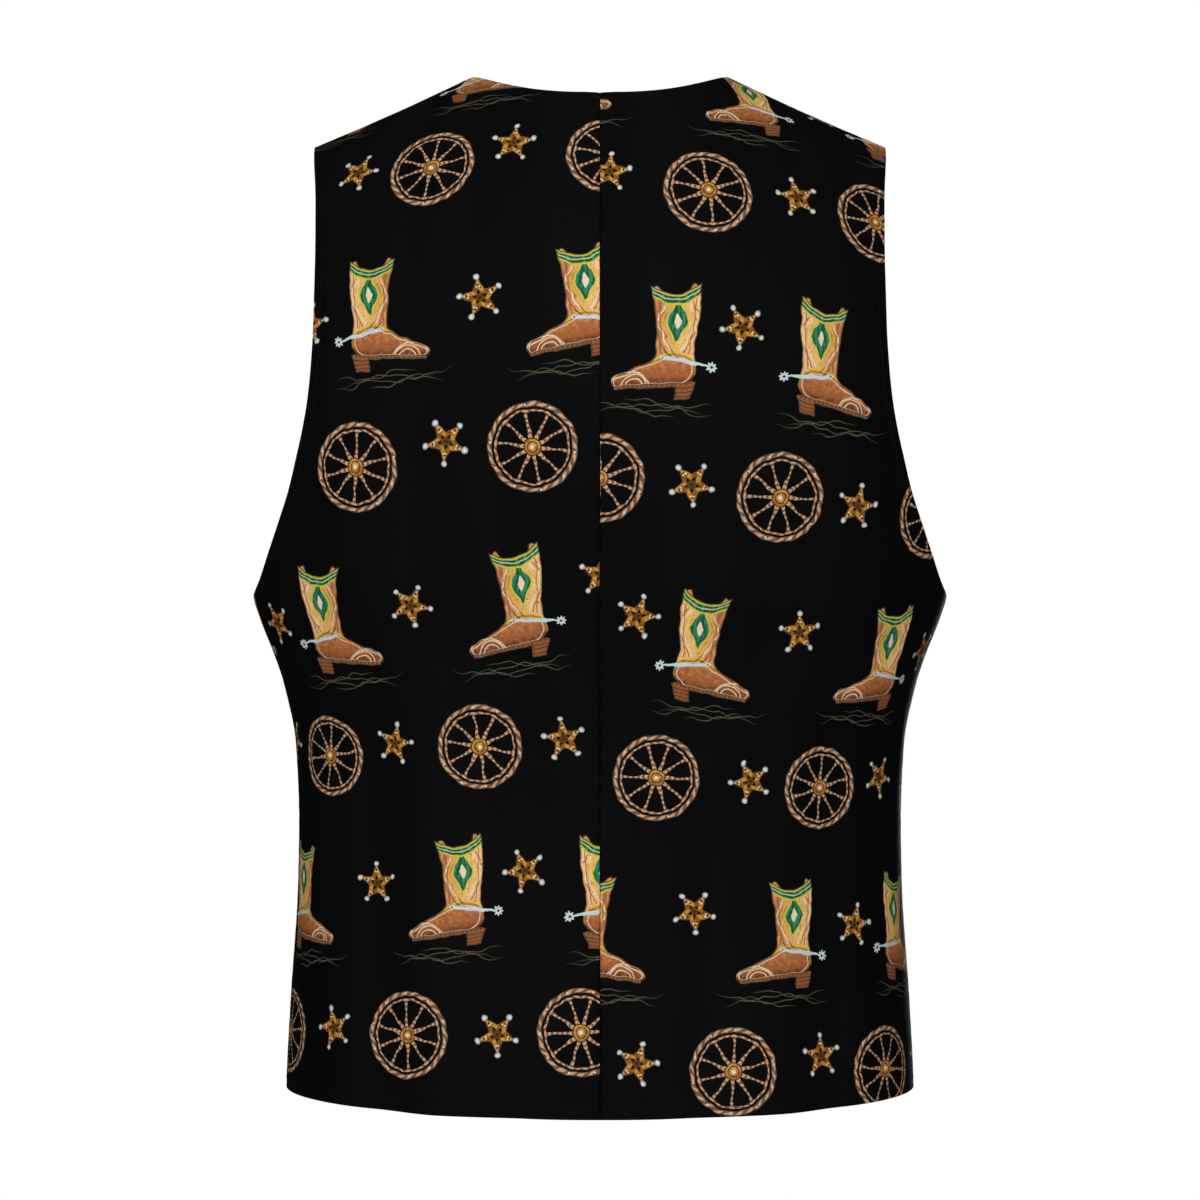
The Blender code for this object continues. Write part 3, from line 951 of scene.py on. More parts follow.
def makeBootGroup():
    look = bootMotif
    art = Motif("bootMotif", look, "shaft")
    dab = art.grain
    place = turnVector(art.place, math.radians(look["tilt"]))
    x, y = splitVector(place)
    # the leg with its scalloped top, and the foot
    across = x + y * 0.05 + (y * 0.105).sine() * 1.1 - look["legMiddle"]
    side = abs(across) - (y * look["legFlare"] + look["legHalf"])
    top = y - (across * across * look["topScallop"] + look["topHeight"])
    leg = side & top & y.scaled(-1, look["legEnd"], False)
    foot = taper(place, *look["footBar"])
    upper = leg.calc("SMOOTH_MIN", foot, look["ankleBlend"]) & (look["toeFlat"] - y)
    ears = taper(joinVector(abs(across), y), *look["earBar"])
    sole = taper(place, *look["soleBar"])
    heelSlope = abs(x + (y + 30) * 0.26 + 12.6) - (y * 0.16 + 9.6)
    heel = heelSlope & (abs(y - look["heelMiddle"]) - look["heelHalf"])
    # brush strokes, long ones down the leg and short ones over the foot
    stroke = noiseWire(joinVector(across * 1.7, y * 0.42), 0.30, 2.0)
    bulge = across / 11.5
    art.fill("light", stroke.scaled(3.2, bulge.scaled(-0.9, -1.35, False)) * 0.85)
    art.fill("shade", stroke.scaled(2.6, bulge.scaled(1.1, -1.65, False)) * 0.8)
    art.fill("foot", dab.scaled(14, -9.24) * 0.8)
    # nested sewing on the leg, about a green inlay
    wide, tall = look["kiteSlopes"]
    kite = abs(across) * wide + abs(y - look["kiteHeight"]) * tall + (y * 0.9).sine() * 0.35
    vamp = foot.calc("SMOOTH_MAX", y + 6.5 - (x + 2) * 0.35, 3.0)
    aboveVamp = (1.6 - vamp).inside()
    onLeg = (top + 6.8).inside() * aboveVamp * (side + 1.0).inside()
    for ring, paint, half in look["rings"]:
        art.line(paint, (kite - ring) * 0.7, half, onLeg)
    field = art.blend("green", "greenLight", stroke.scaled(7, -3.2))
    for size, paint in zip(look["inlay"], ("yellow", field, "cream")):
        art.fill(paint, ((kite - size) * 0.65).inside())
    art.line("shade", side + 2.6, 0.28, aboveVamp)
    # the foot
    leather = art.blend("foot", "footLight", dab.scaled(3.0, y.scaled(0.10, 0.55, False)))
    low = dab.scaled(2.0, y.scaled(-0.22, -5.65, False))
    inVamp = (vamp - 0.4).inside()
    art.fill(paintOver(leather, look["footDark"], low), inVamp)
    art.line("yellow", vamp - 0.5, 0.48)
    art.line("cream", vamp + 1.6, 0.22, inVamp)
    for arc in look["toeArcs"]:
        art.line("cream", disc(place, *arc), 0.28, inVamp)
    byAnkle = disc(place, *look["ankle"]).inside(3.0)
    for fold in look["ankleFolds"]:
        art.line("footDark", disc(place, *fold), 0.3, byAnkle)
    # the collar and the pull straps
    collar = art.blend("green", "greenLight", stroke.scaled(6, -2.6))
    art.fill(collar, (-top - look["collar"][0][0]).inside())
    for drop, paint, half in look["collar"]:
        art.line(paint, top + drop, half)
    art.fill("dark", (-upper - 0.5).inside(0.8) * 0.85)
    behind = (0.2 - top).inside()
    art.fill("shaft", ears.inside() * behind)
    art.line("dark", ears + 0.25, 0.35, behind)
    art.line("foot", ears + 1.3, 0.16, behind)
    art.fill("sole", (sole | heel).inside())
    art.fill("shade", (heel + 0.9).inside() * 0.75)
    for step in look["heelSteps"]:
        art.line("dark", y - step, 0.2, heel.inside())
    welt = (x * 2.4).sine().calc("ADD", 0.1, clamp=True)
    art.line("cream", sole + 0.6, 0.3, (sole + 0.9).inside() * welt)
    # the spur
    strap = taper(place, *look["strapBar"])
    shank = taper(place, *look["shankBar"])
    fromRowel = vectorCalc("SUBTRACT", place, look["rowelCentre"])
    rowelX, rowelY = splitVector(fromRowel)
    reach = vectorCalc("LENGTH", fromRowel)
    teeth = (rowelY.calc("ARCTAN2", rowelX) * look["teeth"]).sine() * look["toothHeight"]
    spur = strap | shank | (reach - teeth - look["rowelRadius"])
    art.fill("steel", spur.inside())
    art.fill("dark", (reach - look["rowelHole"]).inside())
    art.fill("dark", disc(place, *look["strapRivet"]).inside())
    mask = (upper | (sole | heel) | spur | ears).inside(0.3)
    # faint strokes on the ground below
    flatX, flatY = splitVector(art.place)
    ground = None
    for drop, rate, phase, middle, half in look["groundLines"]:
        wave = (flatX * rate + phase).sine() * 1.6 + (flatX * 0.43 + phase * 2).sine() * 0.6
        line = (abs(flatY - wave - drop) - 0.10).inside(0.55)
        line = line * abs(flatX - middle).scaled(-2.2 / half, 2.2)
        ground = line if ground is None else ground.calc("MAXIMUM", line)
    art.colour = paintOver(look["strokes"], art.colour, mask)
    return art.finish(mask.calc("MAXIMUM", ground * 0.85))


wheelMotif = {
    "radius": 24.6,
    "rim": 1.4,  # half widths
    "felloe": 0.58,
    "spoke": 0.82,
    "spokes": 10,
    "felloeIn": 3.4,
    "hubRadius": 4.8,
    "hubLines": ((3.1, 0.32), (4.9, 0.25)),
    "rivetRadius": 0.6,
    "axleRadius": 1.3,
    "twists": 24.0,
    "tan": (206, 160, 122),
    "brown": (116, 86, 68),
    "dark": (52, 42, 36),
    "pale": (222, 214, 200),
    "hub": (166, 108, 40),
    "hubLight": (206, 150, 66),
}


def makeWheelGroup():
    look = wheelMotif
    art = Motif("wheelMotif", look, "brown")
    grain = art.grain
    x, y = splitVector(art.place)
    reach = vectorCalc("LENGTH", art.place)
    turn = y.calc("ARCTAN2", x)
    toSpoke = turn.calc("PINGPONG", math.pi / look["spokes"]).sine() * reach
    fromRim = reach - look["radius"]
    rim = abs(fromRim) - look["rim"]
    felloe = abs(fromRim + look["felloeIn"]) - look["felloe"]
    swell = (reach * 0.36 - 0.5).sine() * 0.3 + look["spoke"]
    spokes = (toSpoke - swell) & (fromRim + 3) & (4 - reach)
    hub = reach - look["hubRadius"]
    # twisted strands, lighter on the side towards the light
    lay = grain.scaled(3.0, fromRim * 1.5, False)
    twist = turn.scaled(look["twists"], lay, False).sine().scaled(1.9, 0.5)
    spokeTwist = reach.scaled(2.1, toSpoke * 1.6, False).sine().scaled(1.9, 0.5)
    art.fill("tan", twist)
    art.fill(art.blend("brown", "tan", spokeTwist), (fromRim + 2.3).inside())
    edge = (-rim - 0.45).inside(0.7) * (-fromRim - 2.2).inside()
    art.fill("dark", edge * 0.8)
    lit = grain.scaled(5.0, (y - x).scaled(0.12, -2.2, False))
    art.fill(art.blend("hub", "hubLight", lit), hub.inside())
    for radius, half in look["hubLines"]:
        art.line("dark", reach - radius, half)
    rivet = vectorCalc("LENGTH", joinVector(fromRim, toSpoke))
    art.fill("pale", (rivet - look["rivetRadius"]).inside())
    art.fill("pale", (reach - look["axleRadius"]).inside())
    return art.finish((rim | felloe | spokes | hub).inside(0.3))


starMotif = {
    "points": 5,
    "radius": 12.6,
    "waist": 5.6,
    "band": 2.9,
    "bossRadius": 2.3,
    "tip": 0.4,  # the ball's centre lies this far inside the arm's end
    "tipRadius": 1.75,
    "nailPitch": 2.5,
    "nails": ((-0.6, 0.42, "hole"), (0.5, 0.45, "pale")),  # along the band, radius, colour
    "nailed": (2.4, 7.2),  # the stretch of each arm that has nails
    "gold": (164, 108, 34),
    "light": (206, 150, 62),
    "shade": (122, 76, 24),
    "dark": (70, 42, 16),
    "hole": (30, 20, 10),
    "pale": (222, 226, 222),
    "paleShade": (150, 158, 160),
}


def makeStarGroup():
    look = starMotif
    art = Motif("starMotif", look, "gold")
    grain = art.grain
    x, y = splitVector(art.place)
    reach = vectorCalc("LENGTH", art.place)
    around = x.calc("ARCTAN2", y)
    half = math.pi / look["points"]
    turn = around.calc("PINGPONG", half)
    folded = joinVector(turn.calc("COSINE") * reach, turn.sine() * reach)
    run = (look["waist"] * math.cos(half) - look["radius"], look["waist"] * math.sin(half))
    length = math.hypot(*run)
    fromTip = vectorCalc("SUBTRACT", folded, (look["radius"], 0.0, 0.0))
    edge = vectorCalc("DOT_PRODUCT", fromTip, (run[1] / length, -run[0] / length, 0.0))
    along = vectorCalc("DOT_PRODUCT", fromTip, (run[0] / length, run[1] / length, 0.0))
    middle = edge + look["band"] / 2
    band = abs(middle) - look["band"] / 2
    tip = disc(folded, (look["radius"] - look["tip"], 0.0), look["tipRadius"])
    # each arm is bent along its middle, so that one half is lit
    facet = (around * look["points"]).sine() * 1.4
    art.fill("light", grain.scaled(4.0, facet - 1.75) * 0.8)
    art.fill("shade", grain.scaled(3.0, facet.scaled(-1.0, -1.85, False)) * 0.7)
    art.fill("dark", (-band - 0.4).inside(0.7) * 0.85)
    spaced = along.calc("WRAP", look["nailPitch"] / 2, -look["nailPitch"] / 2)
    low, high = look["nailed"]
    onArm = (low - along).inside() * (along - high).inside()
    for place, radius, paint in look["nails"]:
        nail = vectorCalc("LENGTH", joinVector(spaced - place, middle)) - radius
        art.fill(paint, nail.inside(0.3) * onArm)
    art.fill(art.blend("pale", "paleShade", tip.scaled(1.2, 1.44)), tip.inside(0.5))
    art.fill("dark", (reach - 1.0).inside())
    return art.finish((band | (reach - look["bossRadius"]) | tip).inside(0.3))


printLayout = {
    "pitch": 106.0,  # millimetres between two motifs of a row
    "rowPitch": 87.0,  # rows of boots and rows of wheels take turns
    "rowShift": 26.5,
    "wheelUp": 2.0,
    "wheelTurn": 0.35,  # from one to the next
    "starUp": 7.0,
    "starTurn": 0.9,
    "starSway": 5.0,
    "bootSway": 3.0,
    "bootSize": 1.05,
    "wobble": 0.7,
    "wobbleScale": 0.16,
    "grainScale": 0.36,
}


def cellPlace(x, y, at, rows=1):
    # the place inside the nearest cell of a motif that has every so many rows, and the cell's own
    # row and column
    layout = printLayout
    y = y - at[1]
    row = (y / (layout["rowPitch"] * rows)).calc("ROUND")
    x = x - row * (layout["rowShift"] * rows) - at[0]
    column = (x / layout["pitch"]).calc("ROUND")
    return x - column * layout["pitch"], y - row * (layout["rowPitch"] * rows), row, column


def makePrintGroup():
    results = {"Color": "Color", "Mask": "Float"}
    tree, source, result = newGroup("westernPrint", {"Place": "Vector"}, results)
    layout = printLayout
    raw = source["Place"]
    wobble = addNoise(raw, layout["wobbleScale"], 0.0)["Color"]
    shaken = vectorCalc("MULTIPLY_ADD", wobble, (layout["wobble"] * 2,) * 3, raw)
    x, y = splitVector(shaken)
    grain = noiseWire(raw, layout["grainScale"], 2.0)
    # boots, every other one turned about
    localX, localY, row, column = cellPlace(x, y, (0.0, 0.0), 2)
    size = 1 / layout["bootSize"]
    flip = column.calc("FLOORED_MODULO", 2.0).scaled(-2 * size, size, False)
    sway = (column * 1.9 + row * 0.8).sine() * layout["bootSway"]
    place = joinVector(localX * flip, (localY + sway) * size)
    boot = useGroup(makeBootGroup(), Place=place, Grain=grain)
    # wheels, each turned a little further
    at = (layout["rowShift"], layout["rowPitch"] + layout["wheelUp"])
    localX, localY, row, column = cellPlace(x, y, at, 2)
    turn = (column + row * 1.7) * layout["wheelTurn"]
    wheel = useGroup(makeWheelGroup(), Place=turnVector(joinVector(localX, localY), turn), Grain=grain)
    # stars, a little out of line
    at = (layout["pitch"] / 2, layout["starUp"])
    localX, localY, row, column = cellPlace(x, y, at)
    localX = localX + (column * 2.3 + row * 1.7).sine() * layout["starSway"]
    localY = localY + (column * 1.3 + row * 2.9).sine() * layout["starSway"]
    turn = (column + row * 1.7) * layout["starTurn"]
    star = useGroup(makeStarGroup(), Place=turnVector(joinVector(localX, localY), turn), Grain=grain)
    colour, mask = boot["Color"], Wire(boot["Mask"])
    for motif in (wheel, star):
        colour = paintOver(colour, motif["Color"], motif["Mask"])
        mask = mask.calc("MAXIMUM", motif["Mask"])
    connect(colour, result["Color"])
    connect(mask, result["Mask"])
    return tree


# Materials

clothLook = {
    "ground": (7, 7, 7),
    "groundPale": (9, 9, 9),
    "bandScale": 0.026,  # soft bands a little paler, down the cloth
    "bandStretch": 0.12,
    "fuzzScale": 1.1,
    "wornEdge": (12, 12, 12),
    "wornStart": 1.3,  # how worn an edge is, and how fast that fades away from it
    "wornFade": 560,
    "roughness": 0.70,
    "inkRoughness": 0.72,
    "specular": 0.022,
    "threadPitch": 0.48,  # millimetres between two threads of the weave
    "weaveBump": 0.25,
    "weaveDepth": 0.00024,
    "weaveHeight": 0.55,
    "dipHeight": -2.2,  # along the topstitching
    "dipFade": 0.7,
    "rollHeight": -2.5,  # along the seams
    "rollFade": 900,
    "softScale": 0.12,
    "softHeight": 1.6,
    "inkShow": 0.10,  # how much of the print shows on the wrong side
    "sewLine": 0.0055,  # the topstitching lies this far from an edge
}

threadLooks = {
    "blackThread": {"dark": (8, 8, 8), "pale": (17, 17, 18), "specular": 0.15},
    # the seam's thread is darker than the black thread and has no gloss: partly thread, partly painted
    # shade in the seam's gap
    "seamThread": {"dark": (2, 2, 2), "pale": (4, 4, 4), "specular": 0.0},
}

buttonLook = {
    "dark": (11, 10, 10),
    "pale": (32, 26, 22),
    "specular": 0.22,
    "grainScale": 260.0,
    "bump": 0.15,
    "bumpDepth": 0.0001,
}


def addBump(shader, height, strength, depth):
    entries = {"Height": height, "Strength": strength, "Distance": depth}
    connect(addNode("Bump", entries)["Normal"], shader.inputs["Normal"])


def attributeWire(tree, name):
    node = tree.nodes.new("ShaderNodeAttribute")
    node.attribute_name = name
    return Wire(node.outputs["Fac"])


def greyOf(value):
    return addNode("CombineColor", {0: value, 1: value, 2: value})["Color"]


def makeWeaveGroup():
    entries = {"Place": "Vector", "Pitch": "Float"}
    tree, source, result = newGroup("plainWeave", entries, {"Height": "Float", "Shade": "Float"})
    x, y = splitVector(source["Place"])
    warp = (x * math.pi / source["Pitch"]).calc("COSINE")
    weft = (y * math.pi / source["Pitch"]).calc("COSINE")
    over = warp * weft * 0.45
    height = (abs(warp) * (over + 0.55)).calc("MAXIMUM", abs(weft) * (0.55 - over))
    connect(height, result["Height"])
    # Shade is painted shade: the ink is darker in the gaps between the threads
    connect(height * 0.5 + 0.62, result["Shade"])
    return tree


def makeClothMaterial(name, groups, inkShare):
    look = clothLook
    material, tree, shader = newMaterial(name)
    uv = tree.nodes.new("ShaderNodeUVMap")
    uv.uv_map = "clothMap"
    place = vectorCalc("SCALE", uv.outputs["UV"], Scale=1000.0)
    weave = useGroup(groups["weave"], Place=place, Pitch=look["threadPitch"])
    drawn = useGroup(groups["print"], Place=place)
    edge, seam = attributeWire(tree, "edgeDistance"), attributeWire(tree, "seamDistance")
    drawnOut = vectorCalc("MULTIPLY", place, (1.0, look["bandStretch"], 0.0))
    bands = noiseWire(drawnOut, look["bandScale"])
    fuzz = noiseWire(place, look["fuzzScale"])
    ground = paintOver(look["ground"], look["groundPale"], bands.scaled(3.0, -1.0))
    worn = edge.scaled(-look["wornFade"], look["wornStart"]) * fuzz
    ground = paintOver(ground, look["wornEdge"], worn)
    # painted shade between the threads darkens the print
    ink = paintOver(drawn["Color"], greyOf(weave["Shade"]), 1.0, "MULTIPLY")
    # the ink is a little thinner on some threads
    mask = Wire(drawn["Mask"]) * (fuzz * 1.2 + 0.42).calc("MINIMUM", 1.0) * inkShare
    connect(paintOver(ground, ink, mask), shader.inputs["Base Color"])
    roughness = mask * (look["inkRoughness"] - look["roughness"]) + look["roughness"]
    connect(roughness, shader.inputs["Roughness"])
    shader.inputs["Specular IOR Level"].default_value = look["specular"]
    # relief: the weave, the dip along the topstitching, the seam's roll and a soft unevenness
    fromSewing = abs(edge * 1000 - look["sewLine"] * 1000)
    dip = (fromSewing * fromSewing * -look["dipFade"]).calc("EXPONENT") * look["dipHeight"]
    roll = (seam * -look["rollFade"]).calc("EXPONENT") * look["rollHeight"]
    soft = noiseWire(place, look["softScale"]) * look["softHeight"]
    height = Wire(weave["Height"]) * look["weaveHeight"] + dip + roll + soft
    addBump(shader, height, look["weaveBump"], look["weaveDepth"])
    return material


def makeThreadMaterial(name):
    look = threadLooks[name]
    material, tree, shader = newMaterial(name)
    place = tree.nodes.new("ShaderNodeTexCoord").outputs["Object"]
    grain = noiseWire(place, 900.0, 2.0, "3D")
    connect(paintOver(look["dark"], look["pale"], grain), shader.inputs["Base Color"])
    connect(grain * 0.3 + 0.5, shader.inputs["Roughness"])
    shader.inputs["Specular IOR Level"].default_value = look["specular"]
    return material


def makeButtonMaterial():
    look = buttonLook
    material, tree, shader = newMaterial("blackButton")
    place = tree.nodes.new("ShaderNodeTexCoord").outputs["Object"]
    grain = noiseWire(place, look["grainScale"], 3.0, "3D")
    streak = grain.scaled(6.0, -2.9)
    connect(paintOver(look["dark"], look["pale"], streak), shader.inputs["Base Color"])
    connect(streak * 0.12 + 0.40, shader.inputs["Roughness"])
    shader.inputs["Specular IOR Level"].default_value = look["specular"]
    addBump(shader, grain, look["bump"], look["bumpDepth"])
    return material


# The panels, laid flat, creased and given their walls

groups = {"print": makePrintGroup(), "weave": makeWeaveGroup()}
clothMaterial = makeClothMaterial("printedCloth", groups, 1.0)
wrongSideMaterial = makeClothMaterial("printedClothWrongSide", groups, clothLook["inkShow"])
threadMaterial = makeThreadMaterial("blackThread")
seamShadeMaterial = makeThreadMaterial("seamThread")
buttonMaterial = makeButtonMaterial()

for name, panel in panels.items():
    piece = makePanel(name)
    layFlat(panel)
    writeMap(panel)
    panel["lines"] = edgeLines(panel)
    shapeCloth(name, panel)
    keepSurface(panel)
    piece.data.materials.append(clothMaterial)
    piece.data.materials.append(wrongSideMaterial)
    giveWall(piece)
    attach(piece, "root")
    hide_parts(panel["node"])
    print(name, "is", [round(v, 3) for v in panel["flatSize"]], "m flat,", round(panel["area"], 4), "m2")


# Sewing: each stitch is modelled once and set in rows

sewing = {
    "pitch": 0.0030,
    "length": 0.0024,
    "thick": 0.00034,
    "sunk": 0.00012,
    "lean": 0.00012,
    "leanRate": 2.3,  # stitches lean to and fro this fast along a row
    "endShare": 0.4,  # the cloth is read this share of a stitch's length from its middle
    "inset": 0.0055,
    "lineStep": 0.0005,  # places along a line of sewing lie this close
    "seamThread": 0.00045,  # radius of the thread inside each seam
    "seamDepth": 0.0010,
    "seamStep": 0.004,
}


def stitchShape(length, thick):
    # a small round-ended bar along X
    bpy.ops.object.select_all(action="DESELECT")
    bpy.ops.mesh.primitive_uv_sphere_add(segments=6, ring_count=4, radius=1.0)
    stitch = bpy.context.object
    mesh = stitch.data
    bpy.ops.object.mode_set(mode="EDIT")
    bpy.ops.transform.rotate(value=math.pi / 2, orient_axis="Y", center_override=(0, 0, 0))
    bpy.ops.object.mode_set(mode="OBJECT")
    points = readArray(mesh.vertices, "co", 3) * np.array((0.5 * length, 0.5 * thick, 0.5 * thick))
    faces = [tuple(face.vertices) for face in mesh.polygons]
    bpy.data.objects.remove(stitch)
    return points, faces


def joinCopies(name, shape, places, material):
    # places are (centre, along, up) for each copy, all in one mesh
    points, faces = shape
    allPoints, allFaces = [], []
    for centre, along, up in places:
        along = along.normalized()
        across = up.cross(along).normalized()
        basis = np.array((along, across, along.cross(across)))
        start = len(allPoints) * len(points)
        allPoints.append(points @ basis + np.array(centre))
        allFaces.extend(tuple(start + corner for corner in face) for face in faces)
    mesh = bpy.data.meshes.new(name)
    mesh.from_pydata(np.concatenate(allPoints), [], allFaces)
    mesh.shade_smooth()
    mesh.materials.append(material)
    piece = newPiece(name, mesh)
    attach(piece, "root")
    return piece


def lengthsAlong(line):
    return np.concatenate(([0.0], np.cumsum(np.hypot(*np.diff(line, axis=0).T))))


def insetLine(panel, line, inset, trim):
    # a line of the flat pattern inside an edge, in small steps, shortened where it starts
    edge, step = panel["flat"][panel["lines"][line]], sewing["lineStep"]
    steps = np.hypot(*np.diff(edge, axis=0).T)
    edge = edge[np.concatenate(([True], steps > 1e-6))]
    reach = lengthsAlong(edge)
    at = np.arange(0.0, reach[-1], step)
    edge = np.stack([np.interp(at, reach, edge[:, k]) for k in (0, 1)], axis=1)
    run = np.gradient(edge, axis=0)
    run /= np.hypot(*run.T)[:, None]
    sideways = np.stack((-run[:, 1], run[:, 0]), axis=1)
    # the other way where this one leaves the cloth
    middle = len(edge) // 2
    trial = edge[middle] + sideways[middle] * inset
    place = panel["flatSurface"].find_nearest(Vector((*trial, 0.0)))[0]
    if (place.xy - Vector(trial)).length > 1e-5:
        sideways = -sideways
    return (edge + sideways * inset)[int(trim / step) :]


def stitchPlaces(panel, line, trim, jitter):
    path = insetLine(panel, line, sewing["inset"], trim)
    reach = lengthsAlong(path)
    half = sewing["length"] * sewing["endShare"]
    lift = sewing["thick"] / 2 - sewing["sunk"]
    places = []
    for number, middle in enumerate(np.arange(sewing["pitch"] / 2, reach[-1], sewing["pitch"])):
        (start, normal), (end, _) = (
            fromFlat(panel, *(np.interp(at, reach, path[:, k]) for k in (0, 1)))
            for at in (middle - half, middle + half)
        )
        lean = normal.cross(end - start).normalized() * math.sin(number * jitter) * sewing["lean"]
        places.append(((start + end) / 2 + normal * lift + lean, end - start + lean * 2, normal))
    return places


# the front's hem and front edge are trimmed by the inset where they start, so that their rows
# of stitches meet and don't cross
stitch = stitchShape(sewing["length"], sewing["thick"])
for name, panel in panels.items():
    places = []
    for number, line in enumerate(panel["lines"]):
        if line.endswith("Seam"):
            continue
        cornered = panel["side"] == frontSide and line in ("hem", "frontEdge")
        trim = sewing["inset"] if cornered else 0.0
        places += stitchPlaces(panel, line, trim, sewing["leanRate"] + number)
    stitches = joinCopies(name.replace("Cloth", "Stitches"), stitch, places, threadMaterial)
    panel["stitches"] = stitches
    print(stitches.name, "has", len(places), "stitches")


# A thread closes each seam inside the cloth's thickness; its near-black colour, without gloss, is partly
# the thread's own and partly painted shade for the seam's gap

def makeSeamThread(name, first, second, line):
    left, right = ([panel["points"][k] for k in panel["lines"][line]] for panel in (first, second))
    middles = []
    for point in left:
        near = min(right, key=lambda other: (other - point).length)
        _, normalA, _, _ = first["surface"].find_nearest(point)
        _, normalB, _, _ = second["surface"].find_nearest(near)
        inward = -(normalA + normalB).normalized()
        middles.append((point + near) / 2 + inward * sewing["seamDepth"])
    spaced = [middles[0]]
    for point in middles[1:-1]:
        if (point - spaced[-1]).length > sewing["seamStep"]:
            spaced.append(point)
    spaced.append(middles[-1])
    curve = bpy.data.curves.new(name, "CURVE")
    curve.dimensions = "3D"
    curve.bevel_depth = sewing["seamThread"]
    curve.bevel_resolution = 1
    curve.use_fill_caps = True
    spline = curve.splines.new("POLY")
    spline.points.add(len(spaced) - 1)
    for point, place in zip(spline.points, spaced):
        point.co = (*place, 1.0)
    selectOnly(newPiece(name, curve))
    bpy.ops.object.convert(target="MESH")
    thread = bpy.context.object
    thread.data.materials.append(seamShadeMaterial)
    thread.data.shade_smooth()
    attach(thread, "root")


seamThreads = {
    "centreBackSeamThread": ("backLeftCloth", "backRightCloth", "centreSeam"),
    "leftSideSeamThread": ("backLeftCloth", "frontLeftCloth", "sideSeam"),
    "rightSideSeamThread": ("backRightCloth", "frontRightCloth", "sideSeam"),
    "leftShoulderSeamThread": ("backLeftCloth", "frontLeftCloth", "shoulderSeam"),
    "rightShoulderSeamThread": ("backRightCloth", "frontRightCloth", "shoulderSeam"),
}
for name, (first, second, line) in seamThreads.items():
    makeSeamThread(name, panels[first], panels[second], line)
print("the seams are closed")


# Buttons and buttonholes

buttons = {
    "topZ": -0.2670,
    "pitch": 0.0690,
    "count": 5,
    "radius": 0.0075,
    "height": 0.0030,
    "gap": 0.0003,
    "rim": 0.0014,
    "dish": 0.0008,
    "round": 0.00035,
    "roundSteps": 3,
    "roundAngle": 40,
    "smoothAngle": 50,
    "holeRadius": 0.00095,
    "holeOut": 0.0021,
    "seatSpan": 0.0040,
    "turn": 0.3,  # how far a button may be turned about its middle, and how that changes
    "turnRate": 2.1,
    "threadLength": 0.0046,
    "threadThick": 0.0006,
    "threadPitch": 0.00042,
    "threadLift": 0.00012,
    "threadOver": 0.0001,  # the middle strand lies this much higher
    "threadSpread": 0.04,
}


def makeButtonShape():
    b = buttons
    bpy.ops.object.select_all(action="DESELECT")
    bpy.ops.mesh.primitive_cylinder_add(
        vertices=40, radius=b["radius"], depth=b["height"], location=(0, 0, b["height"] / 2)
    )
    button = bpy.context.object
    bpy.ops.object.transform_apply(location=True, rotation=False, scale=False)
    mesh = button.data
    editSelected(mesh.polygons, [face.normal.z > 0.9 for face in mesh.polygons])
    bpy.ops.mesh.inset(thickness=b["rim"], depth=0.0)
    bpy.ops.mesh.inset(thickness=b["rim"] * 0.5, depth=-b["dish"])
    bpy.ops.object.mode_set(mode="OBJECT")
    for number in range(4):
        angle = math.pi / 4 + number * math.pi / 2
        place = (math.cos(angle) * b["holeOut"], math.sin(angle) * b["holeOut"], b["height"] / 2)
        bpy.ops.mesh.primitive_cylinder_add(
            vertices=16, radius=b["holeRadius"], depth=b["height"] * 3, location=place
        )
        drill = bpy.context.object
        cut = button.modifiers.new("hole", "BOOLEAN")
        cut.operation = "DIFFERENCE"
        cut.solver = "EXACT"
        cut.object = drill
        applyModifier(button, cut)
        bpy.data.objects.remove(drill)
    roundEdges(button, b["round"], b["roundSteps"], b["roundAngle"])
    selectOnly(button)
    bpy.ops.object.shade_smooth_by_angle(angle=math.radians(b["smoothAngle"]))
    even = button.modifiers.new("evenShading", "WEIGHTED_NORMAL")
    even.keep_sharp = True
    applyModifier(button, even)
    return button


def buttonSeat(z):
    lift = float(lapLift(0.0))
    places = [
        Vector(surfacePoints(frontSide, leftHand, math.pi / 2, np.array(z + step), lift))
        for step in (0.0, buttons["seatSpan"], -buttons["seatSpan"])
    ]
    out = Vector((1, 0, 0)).cross(places[1] - places[2]).normalized()
    turned = out.to_track_quat("Z", "Y").to_matrix().to_4x4()
    return Matrix.Translation(places[0] + out * buttons["gap"]) @ turned


def buttonThreadPlaces(seat):
    # two bars of thread, three strands each
    b, places = buttons, []
    for side in (-1, 1):
        for strand in (-1, 0, 1):
            y = side * b["holeOut"] * math.sqrt(0.5) + strand * b["threadPitch"]
            z = b["height"] - b["dish"] + b["threadLift"] + (b["threadOver"] if strand == 0 else 0.0)
            along = seat.to_3x3() @ Vector((1.0, b["threadSpread"] * strand, 0.0))
            places.append((seat @ Vector((0.0, y, z)), along, seat.to_3x3() @ Vector((0, 0, 1))))
    return places


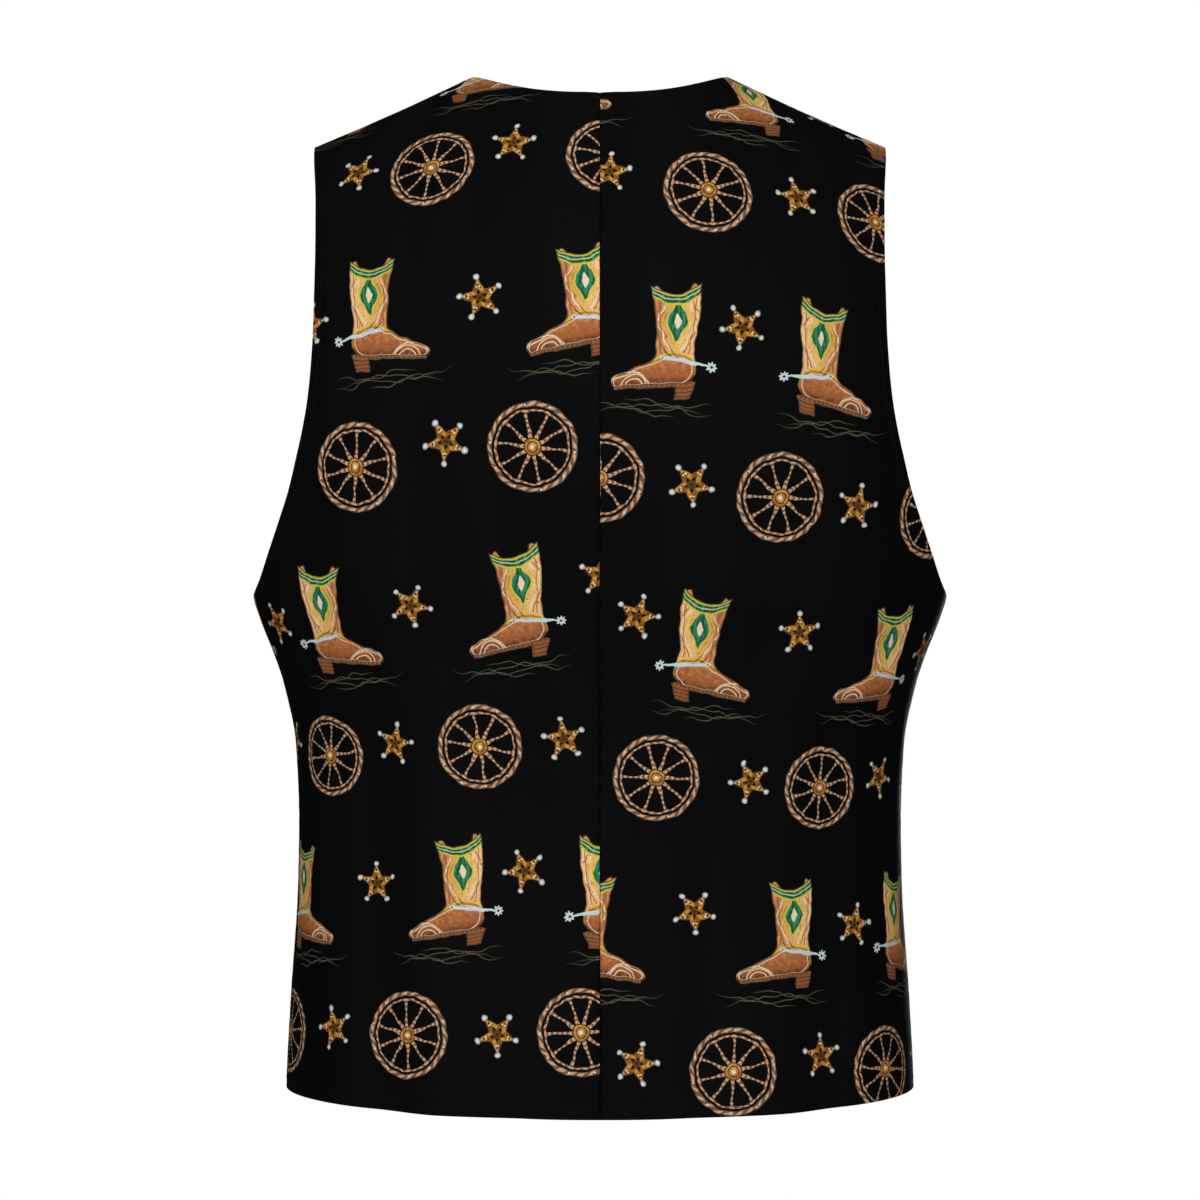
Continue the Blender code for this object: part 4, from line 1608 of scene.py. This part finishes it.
buttonHeights = [buttons["topZ"] - number * buttons["pitch"] for number in range(buttons["count"])]
shape = makeButtonShape()
threadBar = stitchShape(buttons["threadLength"], buttons["threadThick"])
for number, z in enumerate(buttonHeights):
    seat = buttonSeat(z)
    mesh = shape.data.copy()
    mesh.transform(Matrix.Rotation(buttons["turn"] * math.sin(number * buttons["turnRate"]), 4, "Z"))
    mesh.transform(seat)
    mesh.materials.append(buttonMaterial)
    button = newPiece(f"button{number + 1}", mesh)
    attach(button, "root")
    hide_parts(f"button_{number + 1}")
    joinCopies(f"button{number + 1}Thread", threadBar, buttonThreadPlaces(seat), threadMaterial)
bpy.data.objects.remove(shape)

holes = {
    "start": -0.0020,
    "end": 0.0160,
    "bar": 0.0019,
    "barThick": 0.00042,
    "barPitch": 0.00040,
    "barLift": 0.3,  # of its thickness
    "slitHalf": 0.00035,
    "wobble": 0.00008,
    "wobbleRate": 2.7,
    "endTurns": (-60, -30, 0, 30, 60),
}


def onLeftFront(x, z):
    lift = lapLift(abs(x))
    point = surfacePoints(frontSide, leftHand, angleAt(x, z), np.array(z), float(lift))
    place, normal, _, _ = panels["frontLeftCloth"]["surface"].find_nearest(Vector(point))
    return place + normal * holes["barThick"] * holes["barLift"], normal


def buttonholePlaces(z):
    # bars along both sides of the slit, and a fan of them round each end
    h, places = holes, []
    out = h["slitHalf"] + h["bar"] / 2
    for number in range(int((h["end"] - h["start"]) / h["barPitch"]) + 1):
        wobble = h["wobble"] * math.sin(number * h["wobbleRate"])
        for side in (-1, 1):
            off = side * (out + wobble)
            place, normal = onLeftFront(h["start"] + number * h["barPitch"], z + off)
            places.append((place, Vector((0, 0, 1)) - normal * normal.z, normal))
    for end, sign in ((h["start"], -1), (h["end"], 1)):
        for lean in map(math.radians, h["endTurns"]):
            place, normal = onLeftFront(end + sign * math.cos(lean) * out, z + math.sin(lean) * out)
            along = Vector((sign * math.cos(lean), 0, math.sin(lean)))
            along -= normal * along.dot(normal)
            places.append((place, along, normal))
    return places


bar = stitchShape(holes["bar"], holes["barThick"])
holePlaces = [place for z in buttonHeights for place in buttonholePlaces(z)]
buttonholes = joinCopies("buttonholes", bar, holePlaces, threadMaterial)
print("buttons and buttonholes are sewn")
